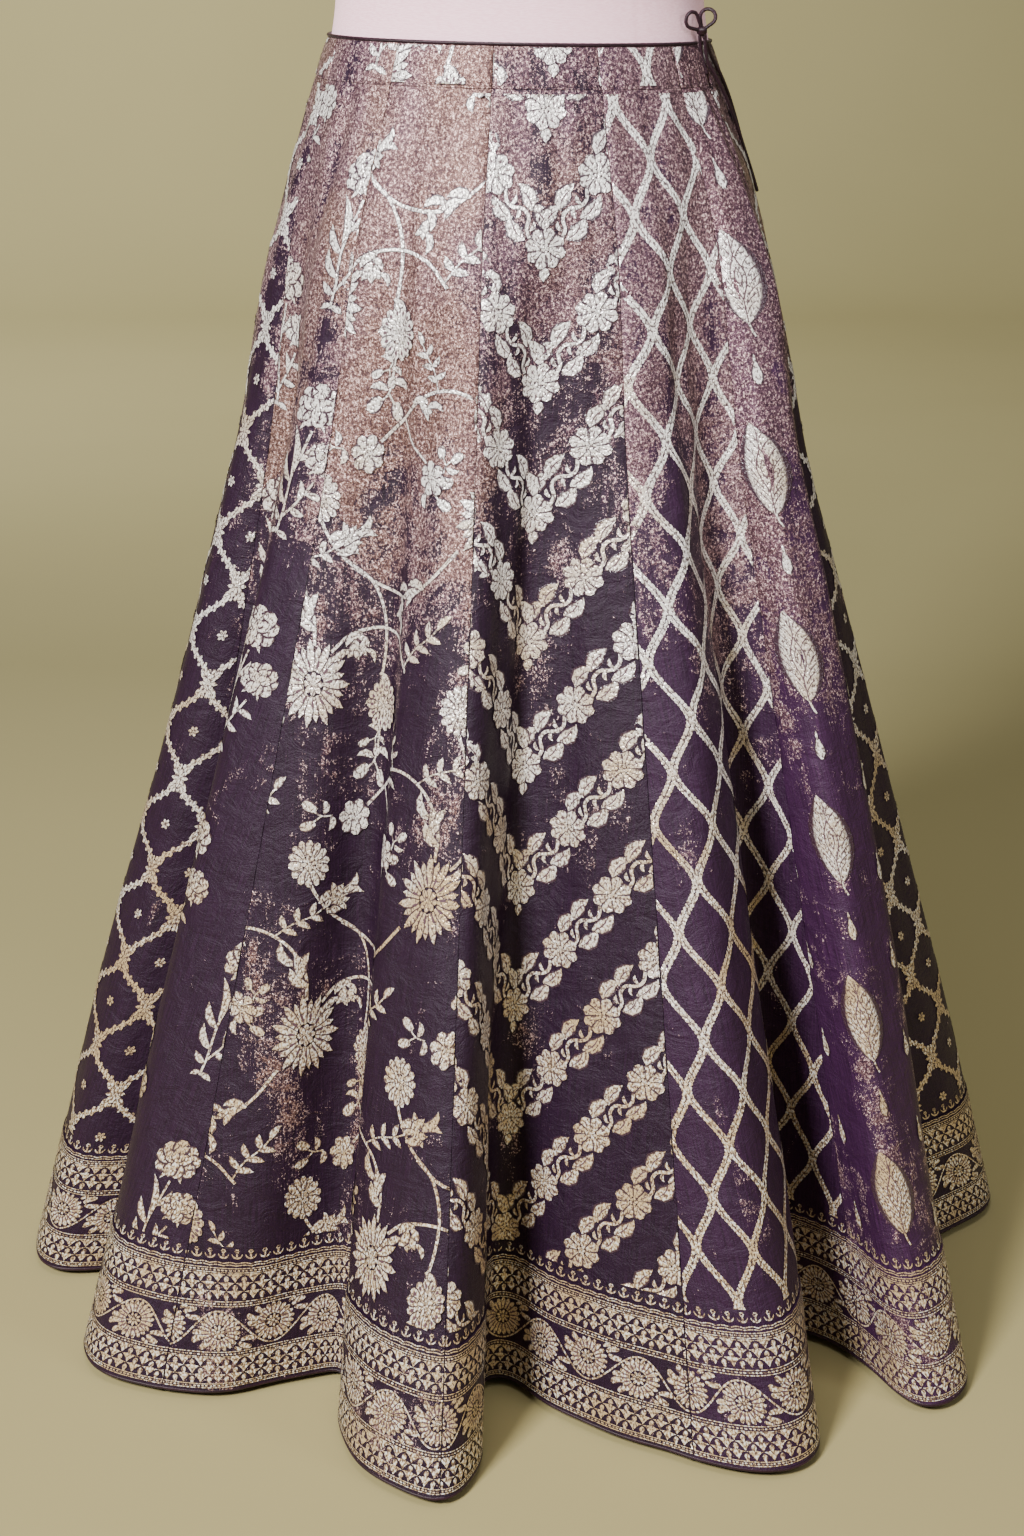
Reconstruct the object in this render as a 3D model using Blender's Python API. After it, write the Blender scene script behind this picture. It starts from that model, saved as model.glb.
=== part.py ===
"""Brocade lehenga skirt of twelve kalis, worn on a limbless dress form.

Metres, +Z up, origin at the middle of the stand's base on the floor.
The front of the skirt faces -Y and the tied side opening is on +X.
"""
import math

import bpy
import numpy as np

# Waist: the band's top and lower ellipses and their heights
WAIST_TOP_A, WAIST_TOP_B, WAIST_TOP_Z = 0.1390, 0.1045, 1.0000
WAIST_LOW_A, WAIST_LOW_B, WAIST_LOW_Z = 0.1485, 0.1120, 0.9725
WAIST_TILT = 0.0022

# Cloth: hem height, wall, seam gap, and how the folds grow downwards
# SIDE_FOLD is the full fold in front of the side opening: kali count, reach, swell, how much sooner it starts
HEM_Z = 0.0085
CLOTH = 0.0012
BORDER_CLOTH = 0.0010
SEAM_GAP = 0.0004
LAY_GAP = 0.0004
FOLD_START = 0.04
FOLD_POWER = 1.18
SIDE_FOLD = (2.70, 0.50, 0.031, 0.25)
HIP_BULGE = 0.0085
FOLD_CENTRE_Y = 0.05

# Side opening between kali 3 and kali 4, from the waist down
SLIT_LENGTH = 0.21
SLIT_HALF = 0.0022

# Grid of every kali, and the height of the woven border
COLS = 13
ROWS = (0.0, 0.055, 0.12, 0.20, 0.30, 0.41, 0.53, 0.65, 0.77, 0.890, 0.945, 1.0)
BORDER_ROW = 9

# Dori, and the pipings along the waist and the hem
DORI_DIAMETER = 0.0026
WAIST_PIPING = 0.0026
HEM_PIPING = 0.0028

# One row a fold of the hem, as (angle from the front in degrees, radius)
# columns: valley, rising side, crest, falling side
FOLDS = (
    ((-100.0, 0.300), (-95.0, 0.385), (-83.0, 0.424), (-74.0, 0.409)),
    ((-68.0, 0.258), (-60.2, 0.406), (-54.0, 0.424), (-39.0, 0.374)),
    ((-28.5, 0.288), (-21.5, 0.374), (-7.0, 0.427), (-4.9, 0.385)),
    ((-5.5, 0.268), (11.0, 0.342), (26.5, 0.434), (33.5, 0.410)),
    ((46.0, 0.288), (49.0, 0.338), (45.2, 0.444), (56.5, 0.428)),
    ((67.0, 0.280), (81.0, 0.372), (93.0, 0.430), (101.0, 0.402)),
    ((108.0, 0.300), (115.0, 0.385), (125.0, 0.425), (133.0, 0.395)),
    ((139.0, 0.285), (147.0, 0.375), (156.0, 0.436), (163.0, 0.405)),
    ((170.0, 0.300), (177.0, 0.380), (187.0, 0.420), (195.0, 0.390)),
    ((200.0, 0.280), (208.0, 0.380), (216.0, 0.432), (225.0, 0.400)),
    ((231.0, 0.295), (239.0, 0.375), (248.0, 0.424), (255.0, 0.390)),
)
HEM_START = (-0.056, -0.370)

# Angle from the front of the twelve seams on the waist, kali 1 starting first
WAIST_SEAMS = (-7.5, 22.5, 50.0, 66.0, 98.4, 130.7, 163.1, 195.4, 227.8, 260.1, 292.5, 322.5, 352.5)

# Dress form sections: height, half width, half depth, middle in Y
FORM_SECTIONS = (
    (0.790, 0.1360, 0.0980, 0.006),
    (0.797, 0.1560, 0.1120, 0.006),
    (0.815, 0.1640, 0.1200, 0.006),
    (0.850, 0.1660, 0.1230, 0.005),
    (0.890, 0.1630, 0.1210, 0.003),
    (0.930, 0.1540, 0.1140, 0.001),
    (0.965, 0.1444, 0.1072, 0.000),
    (1.000, 0.1368, 0.1023, 0.000),
    (1.030, 0.1325, 0.0990, 0.000),
    (1.065, 0.1335, 0.1000, -0.001),
    (1.110, 0.1420, 0.1070, -0.004),
    (1.160, 0.1530, 0.1180, -0.010),
    (1.205, 0.1590, 0.1250, -0.015),
    (1.250, 0.1600, 0.1210, -0.013),
    (1.300, 0.1600, 0.1080, -0.006),
    (1.345, 0.1620, 0.0950, 0.000),
    (1.380, 0.1560, 0.0830, 0.004),
    (1.405, 0.1330, 0.0720, 0.006),
    (1.425, 0.0980, 0.0620, 0.004),
    (1.442, 0.0700, 0.0560, -0.001),
    (1.462, 0.0580, 0.0530, -0.006),
    (1.490, 0.0550, 0.0520, -0.009),
)
FORM_SIDES = 36

# Neck cap, pole and base: radius and height of each ring
CAP_RINGS = ((0.0535, 1.4904), (0.0560, 1.4930), (0.0560, 1.4990), (0.0500, 1.5030), (0.0150, 1.5060), (0.0130, 1.5180),
             (0.0090, 1.5230))
POLE_RINGS = ((0.0140, 0.0284), (0.0140, 0.7700), (0.0300, 0.7704), (0.0300, 0.7896))
BASE_RINGS = ((0.1580, 0.0000), (0.1600, 0.0020), (0.1600, 0.0100), (0.1560, 0.0130), (0.0360, 0.0180), (0.0300, 0.0280))

# Colour, roughness and metallic of each finish
FINISHES = {
    "tissue": ((0.105, 0.045, 0.085), 0.42, 0.45),
    "border": ((0.300, 0.205, 0.150), 0.38, 0.60),
    "band": ((0.260, 0.150, 0.140), 0.40, 0.50),
    "wine": ((0.055, 0.010, 0.028), 0.55, 0.0),
    "form": ((0.790, 0.630, 0.620), 0.90, 0.0),
    "wood": ((0.240, 0.130, 0.070), 0.45, 0.0),
    "steel": ((0.550, 0.550, 0.560), 0.30, 1.0),
}


def clear_scene():
    for item in list(bpy.data.objects):
        bpy.data.objects.remove(item, do_unlink=True)


def material(name, finish):
    colour, roughness, metallic = FINISHES[finish]
    made = bpy.data.materials.new(name)
    made.use_nodes = True
    shader = made.node_tree.nodes["Principled BSDF"]
    shader.inputs["Base Color"].default_value = colour + (1.0,)
    shader.inputs["Roughness"].default_value = roughness
    shader.inputs["Metallic"].default_value = metallic
    made.diffuse_color = colour + (1.0,)
    return made


def add_mesh(name, finish, points, faces, smooth):
    mesh = bpy.data.meshes.new(name)
    mesh.from_pydata([tuple(p) for p in points], [], [tuple(f) for f in faces])
    mesh.validate()
    mesh.polygons.foreach_set("use_smooth", [smooth] * len(mesh.polygons))
    mesh.materials.append(material("mat_" + name, finish))
    mesh.update()
    item = bpy.data.objects.new(name, mesh)
    bpy.context.scene.collection.objects.link(item)
    return item


def closed_curve(points, steps=36):
    """Centripetal spline through a closed ring of plan points."""
    parts = []
    count = len(points)
    for i in range(count):
        p0, p1, p2, p3 = points[i - 1], points[i], points[(i + 1) % count], points[(i + 2) % count]
        t1 = math.sqrt(np.linalg.norm(p1 - p0))
        t2 = t1 + math.sqrt(np.linalg.norm(p2 - p1))
        t3 = t2 + math.sqrt(np.linalg.norm(p3 - p2))
        t = np.linspace(t1, t2, steps, endpoint=False)[:, None]
        a1 = (t1 - t) / t1 * p0 + t / t1 * p1
        a2 = (t2 - t) / (t2 - t1) * p1 + (t - t1) / (t2 - t1) * p2
        a3 = (t3 - t) / (t3 - t2) * p2 + (t - t2) / (t3 - t2) * p3
        b1 = (t2 - t) / t2 * a1 + t / t2 * a2
        b2 = (t3 - t) / (t3 - t1) * a2 + (t - t1) / (t3 - t1) * a3
        parts.append((t2 - t) / (t2 - t1) * b1 + (t - t1) / (t2 - t1) * b2)
    return np.concatenate(parts)


def hem_tables():
    """Hem plan and its smoothed middle line, even along the cloth, 200 samples a kali."""
    ring = []
    for fold in FOLDS:
        for angle, radius in fold:
            a = math.radians(angle)
            ring.append((radius * math.sin(a), FOLD_CENTRE_Y - radius * math.cos(a)))
    curve = closed_curve(np.array(ring))
    first = int(np.argmin(np.hypot(curve[:, 0] - HEM_START[0], curve[:, 1] - HEM_START[1])))
    curve = np.roll(curve, -first, axis=0)
    closed = np.vstack([curve, curve[:1]])
    run = np.concatenate([[0.0], np.cumsum(np.linalg.norm(np.diff(closed, axis=0), axis=1))])
    even = np.linspace(0.0, run[-1], 2400, endpoint=False)
    hem = np.stack([np.interp(even, run, closed[:, 0]), np.interp(even, run, closed[:, 1])], axis=1)
    soften = np.exp(-0.5 * (np.minimum(np.arange(2400), 2400 - np.arange(2400)) / 9.0) ** 2)
    middle = np.exp(-0.5 * (np.minimum(np.arange(2400), 2400 - np.arange(2400)) / 95.0) ** 2)
    out = []
    for kernel in (soften, middle):
        spread = np.fft.fft(kernel / kernel.sum())[:, None]
        out.append(np.real(np.fft.ifft(np.fft.fft(hem, axis=0) * spread, axis=0)))
    return out[0], out[1]


HEM_PLAN, MIDDLE_PLAN = hem_tables()


def ring_lookup(table, u):
    place = np.mod(np.asarray(u, float), 12.0) * 200.0
    low = np.floor(place).astype(int) % 2400
    part = (place - np.floor(place))[..., None]
    return table[low] * (1.0 - part) + table[(low + 1) % 2400] * part


def waist_angle(u):
    return np.radians(np.interp(np.mod(u, 12.0), np.arange(13.0), WAIST_SEAMS))


def waist_ring(u, half_width, half_depth, height):
    angle = waist_angle(u)
    x = half_width * np.sin(angle)
    y = -half_depth * np.cos(angle)
    z = height - WAIST_TILT * x / WAIST_TOP_A
    return np.stack([x, y, z], axis=-1)


def cloth(u, t):
    """Point of the skirt: u counts kalis from the front seam, t runs from the band to the hem."""
    u, t = np.broadcast_arrays(np.asarray(u, float), np.asarray(t, float))
    top = waist_ring(u, WAIST_LOW_A, WAIST_LOW_B, WAIST_LOW_Z - 0.0004)
    hem, middle = ring_lookup(HEM_PLAN, u), ring_lookup(MIDDLE_PLAN, u)
    place, reach, swell, sooner = SIDE_FOLD
    near = np.exp(-((np.mod(u, 12.0) - place) / reach) ** 2)
    power = FOLD_POWER - sooner * near
    grow = np.clip((t - FOLD_START) / (1.0 - FOLD_START), 0.0, 1.0) ** power
    plan = top[..., :2] + t[..., None] * (middle - top[..., :2]) + grow[..., None] * (hem - middle)
    hip = HIP_BULGE * np.exp(-((t - 0.11) / 0.10) ** 2) * (1.0 - np.exp(-t / 0.04))
    hip = hip + swell * near * (1.0 - np.exp(-t / 0.10)) * (1.0 - t ** 1.5)
    away = top[..., :2] / np.linalg.norm(top[..., :2], axis=-1, keepdims=True)
    plan = plan + hip[..., None] * away
    z = top[..., 2] + t * (HEM_Z - top[..., 2])
    return np.concatenate([plan, z[..., None]], axis=-1)


def cloth_normal(u, t):
    step = 0.004
    low, high = np.clip(t - step, 0.0, 1.0), np.clip(t + step, 0.0, 1.0)
    across = cloth(u + 0.02, t) - cloth(u - 0.02, t)
    down = cloth(u, high) - cloth(u, low)
    n = np.cross(down, across)
    return n / np.linalg.norm(n, axis=-1, keepdims=True)


def sheet_faces(rows, cols):
    """Faces of a thin closed sheet: outer grid first, inner grid second."""
    inner = rows * cols
    faces = []
    for r in range(rows - 1):
        for c in range(cols - 1):
            a = r * cols + c
            faces.append((a, a + cols, a + cols + 1, a + 1))
            faces.append((inner + a, inner + a + 1, inner + a + cols + 1, inner + a + cols))
    rim = [c for c in range(cols)]
    rim += [r * cols + cols - 1 for r in range(1, rows)]
    rim += [(rows - 1) * cols + c for c in range(cols - 2, -1, -1)]
    rim += [r * cols for r in range(rows - 2, 0, -1)]
    for i in range(len(rim)):
        a, b = rim[i], rim[(i + 1) % len(rim)]
        faces.append((a, b, inner + b, inner + a))
    return faces


def sheet(name, finish, outer, inner):
    rows, cols = outer.shape[:2]
    points = np.concatenate([outer.reshape(-1, 3), inner.reshape(-1, 3)])
    return add_mesh(name, finish, points, sheet_faces(rows, cols), True)


def kali_grid(k, rows):
    """Cloth coordinates of one kali, its long edges drawn in by half the seam gap."""
    t = np.array(rows)[:, None] * np.ones((1, COLS + 1))
    left, right = np.full(len(rows), float(k)), np.full(len(rows), float(k + 1))
    tt = np.array(rows)
    width = np.linalg.norm(cloth(right - 0.5, tt) - cloth(right - 0.45, tt), axis=1) / 0.05
    edge = 0.5 * SEAM_GAP / width
    open_part = SLIT_HALF * np.clip(1.0 - tt / SLIT_LENGTH, 0.0, 1.0) ** 0.5 / width
    left = left + edge + (open_part if k == 3 else 0.0)
    right = right - edge - (open_part if k == 2 else 0.0)
    share = np.linspace(0.0, 1.0, COLS + 1)[None, :]
    u = left[:, None] * (1.0 - share) + right[:, None] * share
    return u, t


def slit_tuck(k, u, t):
    """The back edge of the side opening lies a little inside the front edge."""
    if k != 3:
        return np.zeros_like(u)
    near = np.clip(1.0 - (u - 3.0) / 0.25, 0.0, 1.0)
    return 0.0030 * near * near * np.clip(1.0 - t / SLIT_LENGTH, 0.0, 1.0)


def build_kalis():
    for k in range(12):
        u, t = kali_grid(k, ROWS)
        n = cloth_normal(u, t)
        outer = cloth(u, t) - n * slit_tuck(k, u, t)[..., None]
        sheet("kali_%02d" % (k + 1), "tissue", outer, outer - n * CLOTH)


def build_borders():
    for k in range(12):
        u, t = kali_grid(k, ROWS[BORDER_ROW:])
        n = cloth_normal(u, t)
        base = cloth(u, t) + n * LAY_GAP
        sheet("border_%02d" % (k + 1), "border", base + n * BORDER_CLOTH, base)


def build_waistband():
    for k in range(12):
        left = k + 0.002 + (0.05 if k == 3 else 0.0)
        right = k + 0.998 - (0.05 if k == 2 else 0.0)
        u = np.linspace(left, right, 6)[None, :].repeat(2, axis=0)
        top = waist_ring(u[0], WAIST_TOP_A, WAIST_TOP_B, WAIST_TOP_Z)
        low = waist_ring(u[1], WAIST_LOW_A, WAIST_LOW_B, WAIST_LOW_Z)
        outer = np.stack([top, low])
        thin_top = waist_ring(u[0], WAIST_TOP_A - 0.0014, WAIST_TOP_B - 0.0014, WAIST_TOP_Z)
        thin_low = waist_ring(u[1], WAIST_LOW_A - 0.0014, WAIST_LOW_B - 0.0014, WAIST_LOW_Z)
        sheet("waistband_%02d" % (k + 1), "band", outer, np.stack([thin_top, thin_low]))


def ring_tube(name, finish, centres, side, up, radius, sides, closed):
    """Round piping swept along a ring or an open run."""
    count = len(centres)
    turn = np.arange(sides) * 2.0 * math.pi / sides + math.pi / sides
    points = (centres[:, None, :] + radius * np.cos(turn)[None, :, None] * side[:, None, :]
              + radius * np.sin(turn)[None, :, None] * up[:, None, :]).reshape(-1, 3)
    faces = []
    for i in range(count if closed else count - 1):
        j = (i + 1) % count
        for s in range(sides):
            r = (s + 1) % sides
            faces.append((i * sides + s, j * sides + s, j * sides + r, i * sides + r))
    if not closed:
        faces.append(tuple(range(sides)))
        faces.append(tuple((count - 1) * sides + s for s in range(sides - 1, -1, -1)))
    return add_mesh(name, finish, points, faces, True)


def build_pipings():
    u = np.linspace(3.06, 14.94, 74)
    radius = WAIST_PIPING / 2.0
    centre = waist_ring(u, WAIST_TOP_A - 0.0006, WAIST_TOP_B - 0.0006, WAIST_TOP_Z + radius + 0.0003)
    side = np.stack([np.sin(waist_angle(u)), -np.cos(waist_angle(u)), np.zeros_like(u)], axis=1)
    up = np.tile([0.0, 0.0, 1.0], (len(u), 1))
    ring_tube("waist_piping", "wine", centre, side, up, radius, 6, False)
    u = np.arange(12 * COLS) / COLS + 1e-6
    n = cloth_normal(u, np.ones_like(u))
    n[:, 2] = 0.0
    n /= np.linalg.norm(n, axis=1, keepdims=True)
    radius = HEM_PIPING / 2.0
    centre = cloth(u, np.ones_like(u)) + n * 0.0004
    centre[:, 2] = HEM_Z - radius - 0.0006
    up = np.tile([0.0, 0.0, 1.0], (len(u), 1))
    ring_tube("hem_piping", "wine", centre, n, up, radius, 5, True)


def lathe(name, finish, rings, sides):
    turn = np.arange(sides) * 2.0 * math.pi / sides
    points = []
    for radius, height in rings:
        points += [(radius * math.cos(a), radius * math.sin(a), height) for a in turn]
    return add_mesh(name, finish, points, stacked_faces(len(rings), sides), True)


def stacked_faces(count, sides):
    faces = [tuple(range(sides - 1, -1, -1))]
    for i in range(count - 1):
        for s in range(sides):
            r = (s + 1) % sides
            faces.append((i * sides + s, i * sides + r, (i + 1) * sides + r, (i + 1) * sides + s))
    faces.append(tuple((count - 1) * sides + s for s in range(sides)))
    return faces


def build_form():
    turn = np.arange(FORM_SIDES) * 2.0 * math.pi / FORM_SIDES
    points = []
    for height, half_width, half_depth, middle in FORM_SECTIONS:
        points += [(half_width * math.sin(a), middle - half_depth * math.cos(a), height) for a in turn]
    add_mesh("form_torso", "form", points, stacked_faces(len(FORM_SECTIONS), FORM_SIDES), True)
    lathe("form_neck_cap", "wood", CAP_RINGS, 24)
    lathe("form_pole", "steel", POLE_RINGS, 16)
    lathe("form_base", "wood", BASE_RINGS, 40)


def smooth_route(points, spacing):
    """Spline through the guide points, read again at even spacing."""
    points = np.array(points, float)
    ends = np.vstack([2 * points[0] - points[1], points, 2 * points[-1] - points[-2]])
    parts = []
    for i in range(len(points) - 1):
        p0, p1, p2, p3 = ends[i:i + 4]
        s = np.linspace(0.0, 1.0, 30, endpoint=False)[:, None]
        parts.append(0.5 * (2 * p1 + (p2 - p0) * s + (2 * p0 - 5 * p1 + 4 * p2 - p3) * s ** 2
                            + (3 * p1 - p0 - 3 * p2 + p3) * s ** 3))
    line = np.vstack(parts + [points[-1:]])
    run = np.concatenate([[0.0], np.cumsum(np.linalg.norm(np.diff(line, axis=0), axis=1))])
    even = np.linspace(0.0, run[-1], max(4, int(round(run[-1] / spacing)) + 1))
    return np.stack([np.interp(even, run, line[:, i]) for i in range(3)], axis=1)


def cord(name, finish, guide, diameter):
    route = smooth_route(guide, 2.2 * diameter)
    curve = bpy.data.curves.new(name, "CURVE")
    curve.dimensions = "3D"
    curve.bevel_depth = diameter / 2.0
    curve.bevel_resolution = 2
    curve.use_fill_caps = True
    spline = curve.splines.new("POLY")
    spline.points.add(len(route) - 1)
    for point, place in zip(spline.points, route):
        point.co = (place[0], place[1], place[2], 1.0)
    curve.materials.append(material("mat_" + name, finish))
    item = bpy.data.objects.new(name, curve)
    bpy.context.scene.collection.objects.link(item)
    return item


# Middle of the knot, and the guide points of each short run of cord about it
KNOT = (0.1285, -0.0475, 1.0078)
KNOT_SIZE = (0.0036, 0.0034, 0.0030)
DORI_LOOPS = {
    "dori_loop_front": ((-0.0036, -0.0016, 0.0008), (-0.0095, -0.0078, 0.0050), (-0.0135, -0.0112, 0.0105),
                        (-0.0118, -0.0104, 0.0152), (-0.0070, -0.0074, 0.0146), (-0.0024, -0.0034, 0.0095),
                        (-0.0008, -0.0010, 0.0036)),
    "dori_loop_back": ((0.0041, 0.0004, 0.0004), (0.0092, 0.0020, 0.0064), (0.0092, 0.0030, 0.0130),
                       (0.0054, 0.0030, 0.0168), (0.0020, 0.0026, 0.0125), (0.0020, 0.0018, 0.0034)),
}

# Hanging tails: a start beside the knot, then (kali count, drop below the waist, height off the cloth)
DORI_TAILS = {
    "dori_tail_front": ((0.0037, -0.0015, -0.0020), (3.02, 0.010, 0.0026), (3.13, 0.022, 0.0024), (3.26, 0.036, 0.0024),
                        (3.38, 0.052, 0.0024), (3.48, 0.070, 0.0024), (3.56, 0.090, 0.0024), (3.60, 0.106, 0.0024)),
    "dori_tail_back": ((0.0036, 0.0026, -0.0008), (3.15, 0.008, 0.0026), (3.30, 0.020, 0.0024), (3.44, 0.034, 0.0024),
                       (3.55, 0.050, 0.0024), (3.64, 0.066, 0.0024), (3.70, 0.084, 0.0024)),
    "dori_stub": ((-0.0012, 0.0012, -0.0046), (3.00, 0.0060, 0.0002), (3.00, 0.0110, -0.0004), (3.00, 0.0170, -0.0004)),
}


def off_skirt(u, drop, off):
    """Point at a drop below the waist's top edge, held off the band or the cloth."""
    share = min(1.0, drop / (WAIST_TOP_Z - WAIST_LOW_Z))
    t = max(0.0, (drop - (WAIST_TOP_Z - WAIST_LOW_Z)) / (WAIST_LOW_Z - HEM_Z))
    band = waist_ring(np.array([u]), WAIST_TOP_A + share * (WAIST_LOW_A - WAIST_TOP_A),
                      WAIST_TOP_B + share * (WAIST_LOW_B - WAIST_TOP_B), WAIST_TOP_Z - drop)
    place = cloth(np.array([u]), np.array([t])) if t > 0.0 else band
    return tuple(place[0] + off * cloth_normal(np.array([u]), np.array([max(t, 0.01)]))[0])


def build_dori():
    rings = []
    for i in range(1, 8):
        a = math.pi * i / 8.0
        rings.append((math.sin(a), -math.cos(a)))
    points = []
    for across, up in rings:
        for s in range(12):
            b = 2.0 * math.pi * s / 12
            points.append((KNOT[0] + KNOT_SIZE[0] * across * math.cos(b), KNOT[1] + KNOT_SIZE[1] * across * math.sin(b),
                           KNOT[2] + KNOT_SIZE[2] * up))
    add_mesh("dori_knot", "wine", points, stacked_faces(len(rings), 12), True)
    for name, guide in DORI_LOOPS.items():
        cord(name, "wine", [tuple(KNOT[i] + g[i] for i in range(3)) for g in guide], DORI_DIAMETER)
    for name, guide in DORI_TAILS.items():
        start = tuple(KNOT[i] + guide[0][i] for i in range(3))
        cord(name, "wine", [start] + [off_skirt(*g) for g in guide[1:]], DORI_DIAMETER)


clear_scene()
build_form()
build_kalis()
build_borders()
build_waistband()
build_pipings()
build_dori()
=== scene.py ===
"""Looks of the brocade lehenga skirt on its dress form, in the order it is put together.

Metres, +Z up, front towards -Y. A place on the cloth is (u, t): u counts kalis round the skirt from
the front seam, t runs from the waistband (0) to the hem (1). A place on one kali's flat cut is
(a, b): metres across from its middle, and metres down from the band.
"""
import math

import bpy
import numpy as np
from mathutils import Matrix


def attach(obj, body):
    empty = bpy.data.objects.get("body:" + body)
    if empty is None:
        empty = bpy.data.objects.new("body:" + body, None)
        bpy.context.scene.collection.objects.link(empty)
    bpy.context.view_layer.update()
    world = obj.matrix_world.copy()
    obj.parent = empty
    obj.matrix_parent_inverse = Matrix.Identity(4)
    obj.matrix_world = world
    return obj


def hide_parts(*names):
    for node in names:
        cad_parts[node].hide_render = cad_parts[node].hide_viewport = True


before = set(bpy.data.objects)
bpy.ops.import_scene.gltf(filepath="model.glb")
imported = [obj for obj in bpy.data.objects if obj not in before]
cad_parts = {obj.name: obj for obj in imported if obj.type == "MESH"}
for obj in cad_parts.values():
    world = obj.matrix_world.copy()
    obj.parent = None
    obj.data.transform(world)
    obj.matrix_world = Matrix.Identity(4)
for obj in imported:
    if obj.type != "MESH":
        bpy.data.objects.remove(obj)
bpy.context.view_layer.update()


# Camera, floor and lamps
# The photograph's view: a long lens a little above the waist, tilted down at the hem.
# A warm pale sweep of studio paper stands under and behind the skirt.
camera_data = bpy.data.cameras.new("studio_camera")
camera_data.sensor_width = 36.0
camera_data.lens = 2300.0 / 1536.0 * 36.0
camera = bpy.data.objects.new("studio_camera", camera_data)
camera.location = (-0.0055, -1.75, 1.08)
camera.rotation_euler = (math.radians(90.0 - 20.2), 0.0, 0.0)
bpy.context.scene.collection.objects.link(camera)
bpy.context.scene.camera = camera


def grids_to_mesh(name, batches, maps=None, slots=None, closed=False, edged=False):
    """One mesh from batches of point grids, each batch shaped (count, rows, columns, 3).

    Quads join neighbouring points of a grid; maps gives every point its flat place in metres
    for the UV map "cloth", and slots the material slot of every batch. An edged mesh gets the
    attribute "edge", 0 along the middle column of each grid and 1 on its two outer ones.
    """
    points, corners, flat, picks, rims = [], [], [], [], []
    base = 0
    for i, grid in enumerate(batches):
        count, rows, cols = grid.shape[:3]
        index = base + np.arange(count * rows * cols).reshape(count, rows, cols)
        if closed:
            index = np.concatenate([index, index[:, :, :1]], axis=2)
        quads = np.stack([index[:, :-1, :-1], index[:, 1:, :-1], index[:, 1:, 1:], index[:, :-1, 1:]], -1)
        corners.append(quads.reshape(-1, 4))
        points.append(grid.reshape(-1, 3))
        flat.append((maps[i] if maps is not None else grid[..., :2]).reshape(-1, 2))
        picks.append(np.full(len(corners[-1]), slots[i] if slots is not None else 0))
        rim = np.abs(np.linspace(-1.0, 1.0, cols)) * (cols > 2)
        rims.append(np.broadcast_to(rim, (count, rows, cols)).ravel())
        base += count * rows * cols
    points, corners, flat = np.concatenate(points), np.concatenate(corners), np.concatenate(flat)
    mesh = bpy.data.meshes.new(name)
    mesh.vertices.add(len(points))
    mesh.vertices.foreach_set("co", points.astype(np.float32).ravel())
    mesh.loops.add(corners.size)
    mesh.loops.foreach_set("vertex_index", corners.astype(np.int32).ravel())
    mesh.polygons.add(len(corners))
    mesh.polygons.foreach_set("loop_start", np.arange(0, corners.size, 4, dtype=np.int32))
    mesh.polygons.foreach_set("material_index", np.concatenate(picks).astype(np.int32))
    mesh.polygons.foreach_set("use_smooth", np.ones(len(corners), dtype=bool))
    mesh.update(calc_edges=True)
    layer = mesh.uv_layers.new(name="cloth")
    layer.data.foreach_set("uv", flat[corners.ravel()].astype(np.float32).ravel())
    if edged:
        edge = mesh.attributes.new("edge", "FLOAT", "POINT")
        edge.data.foreach_set("value", np.concatenate(rims).astype(np.float32))
    mesh.validate()
    return mesh


def add_piece(name, mesh, materials):
    """Puts a finished mesh into the scene at the origin with its materials."""
    for made in materials:
        mesh.materials.append(made)
    piece = bpy.data.objects.new(name, mesh)
    bpy.context.scene.collection.objects.link(piece)
    return piece


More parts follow.
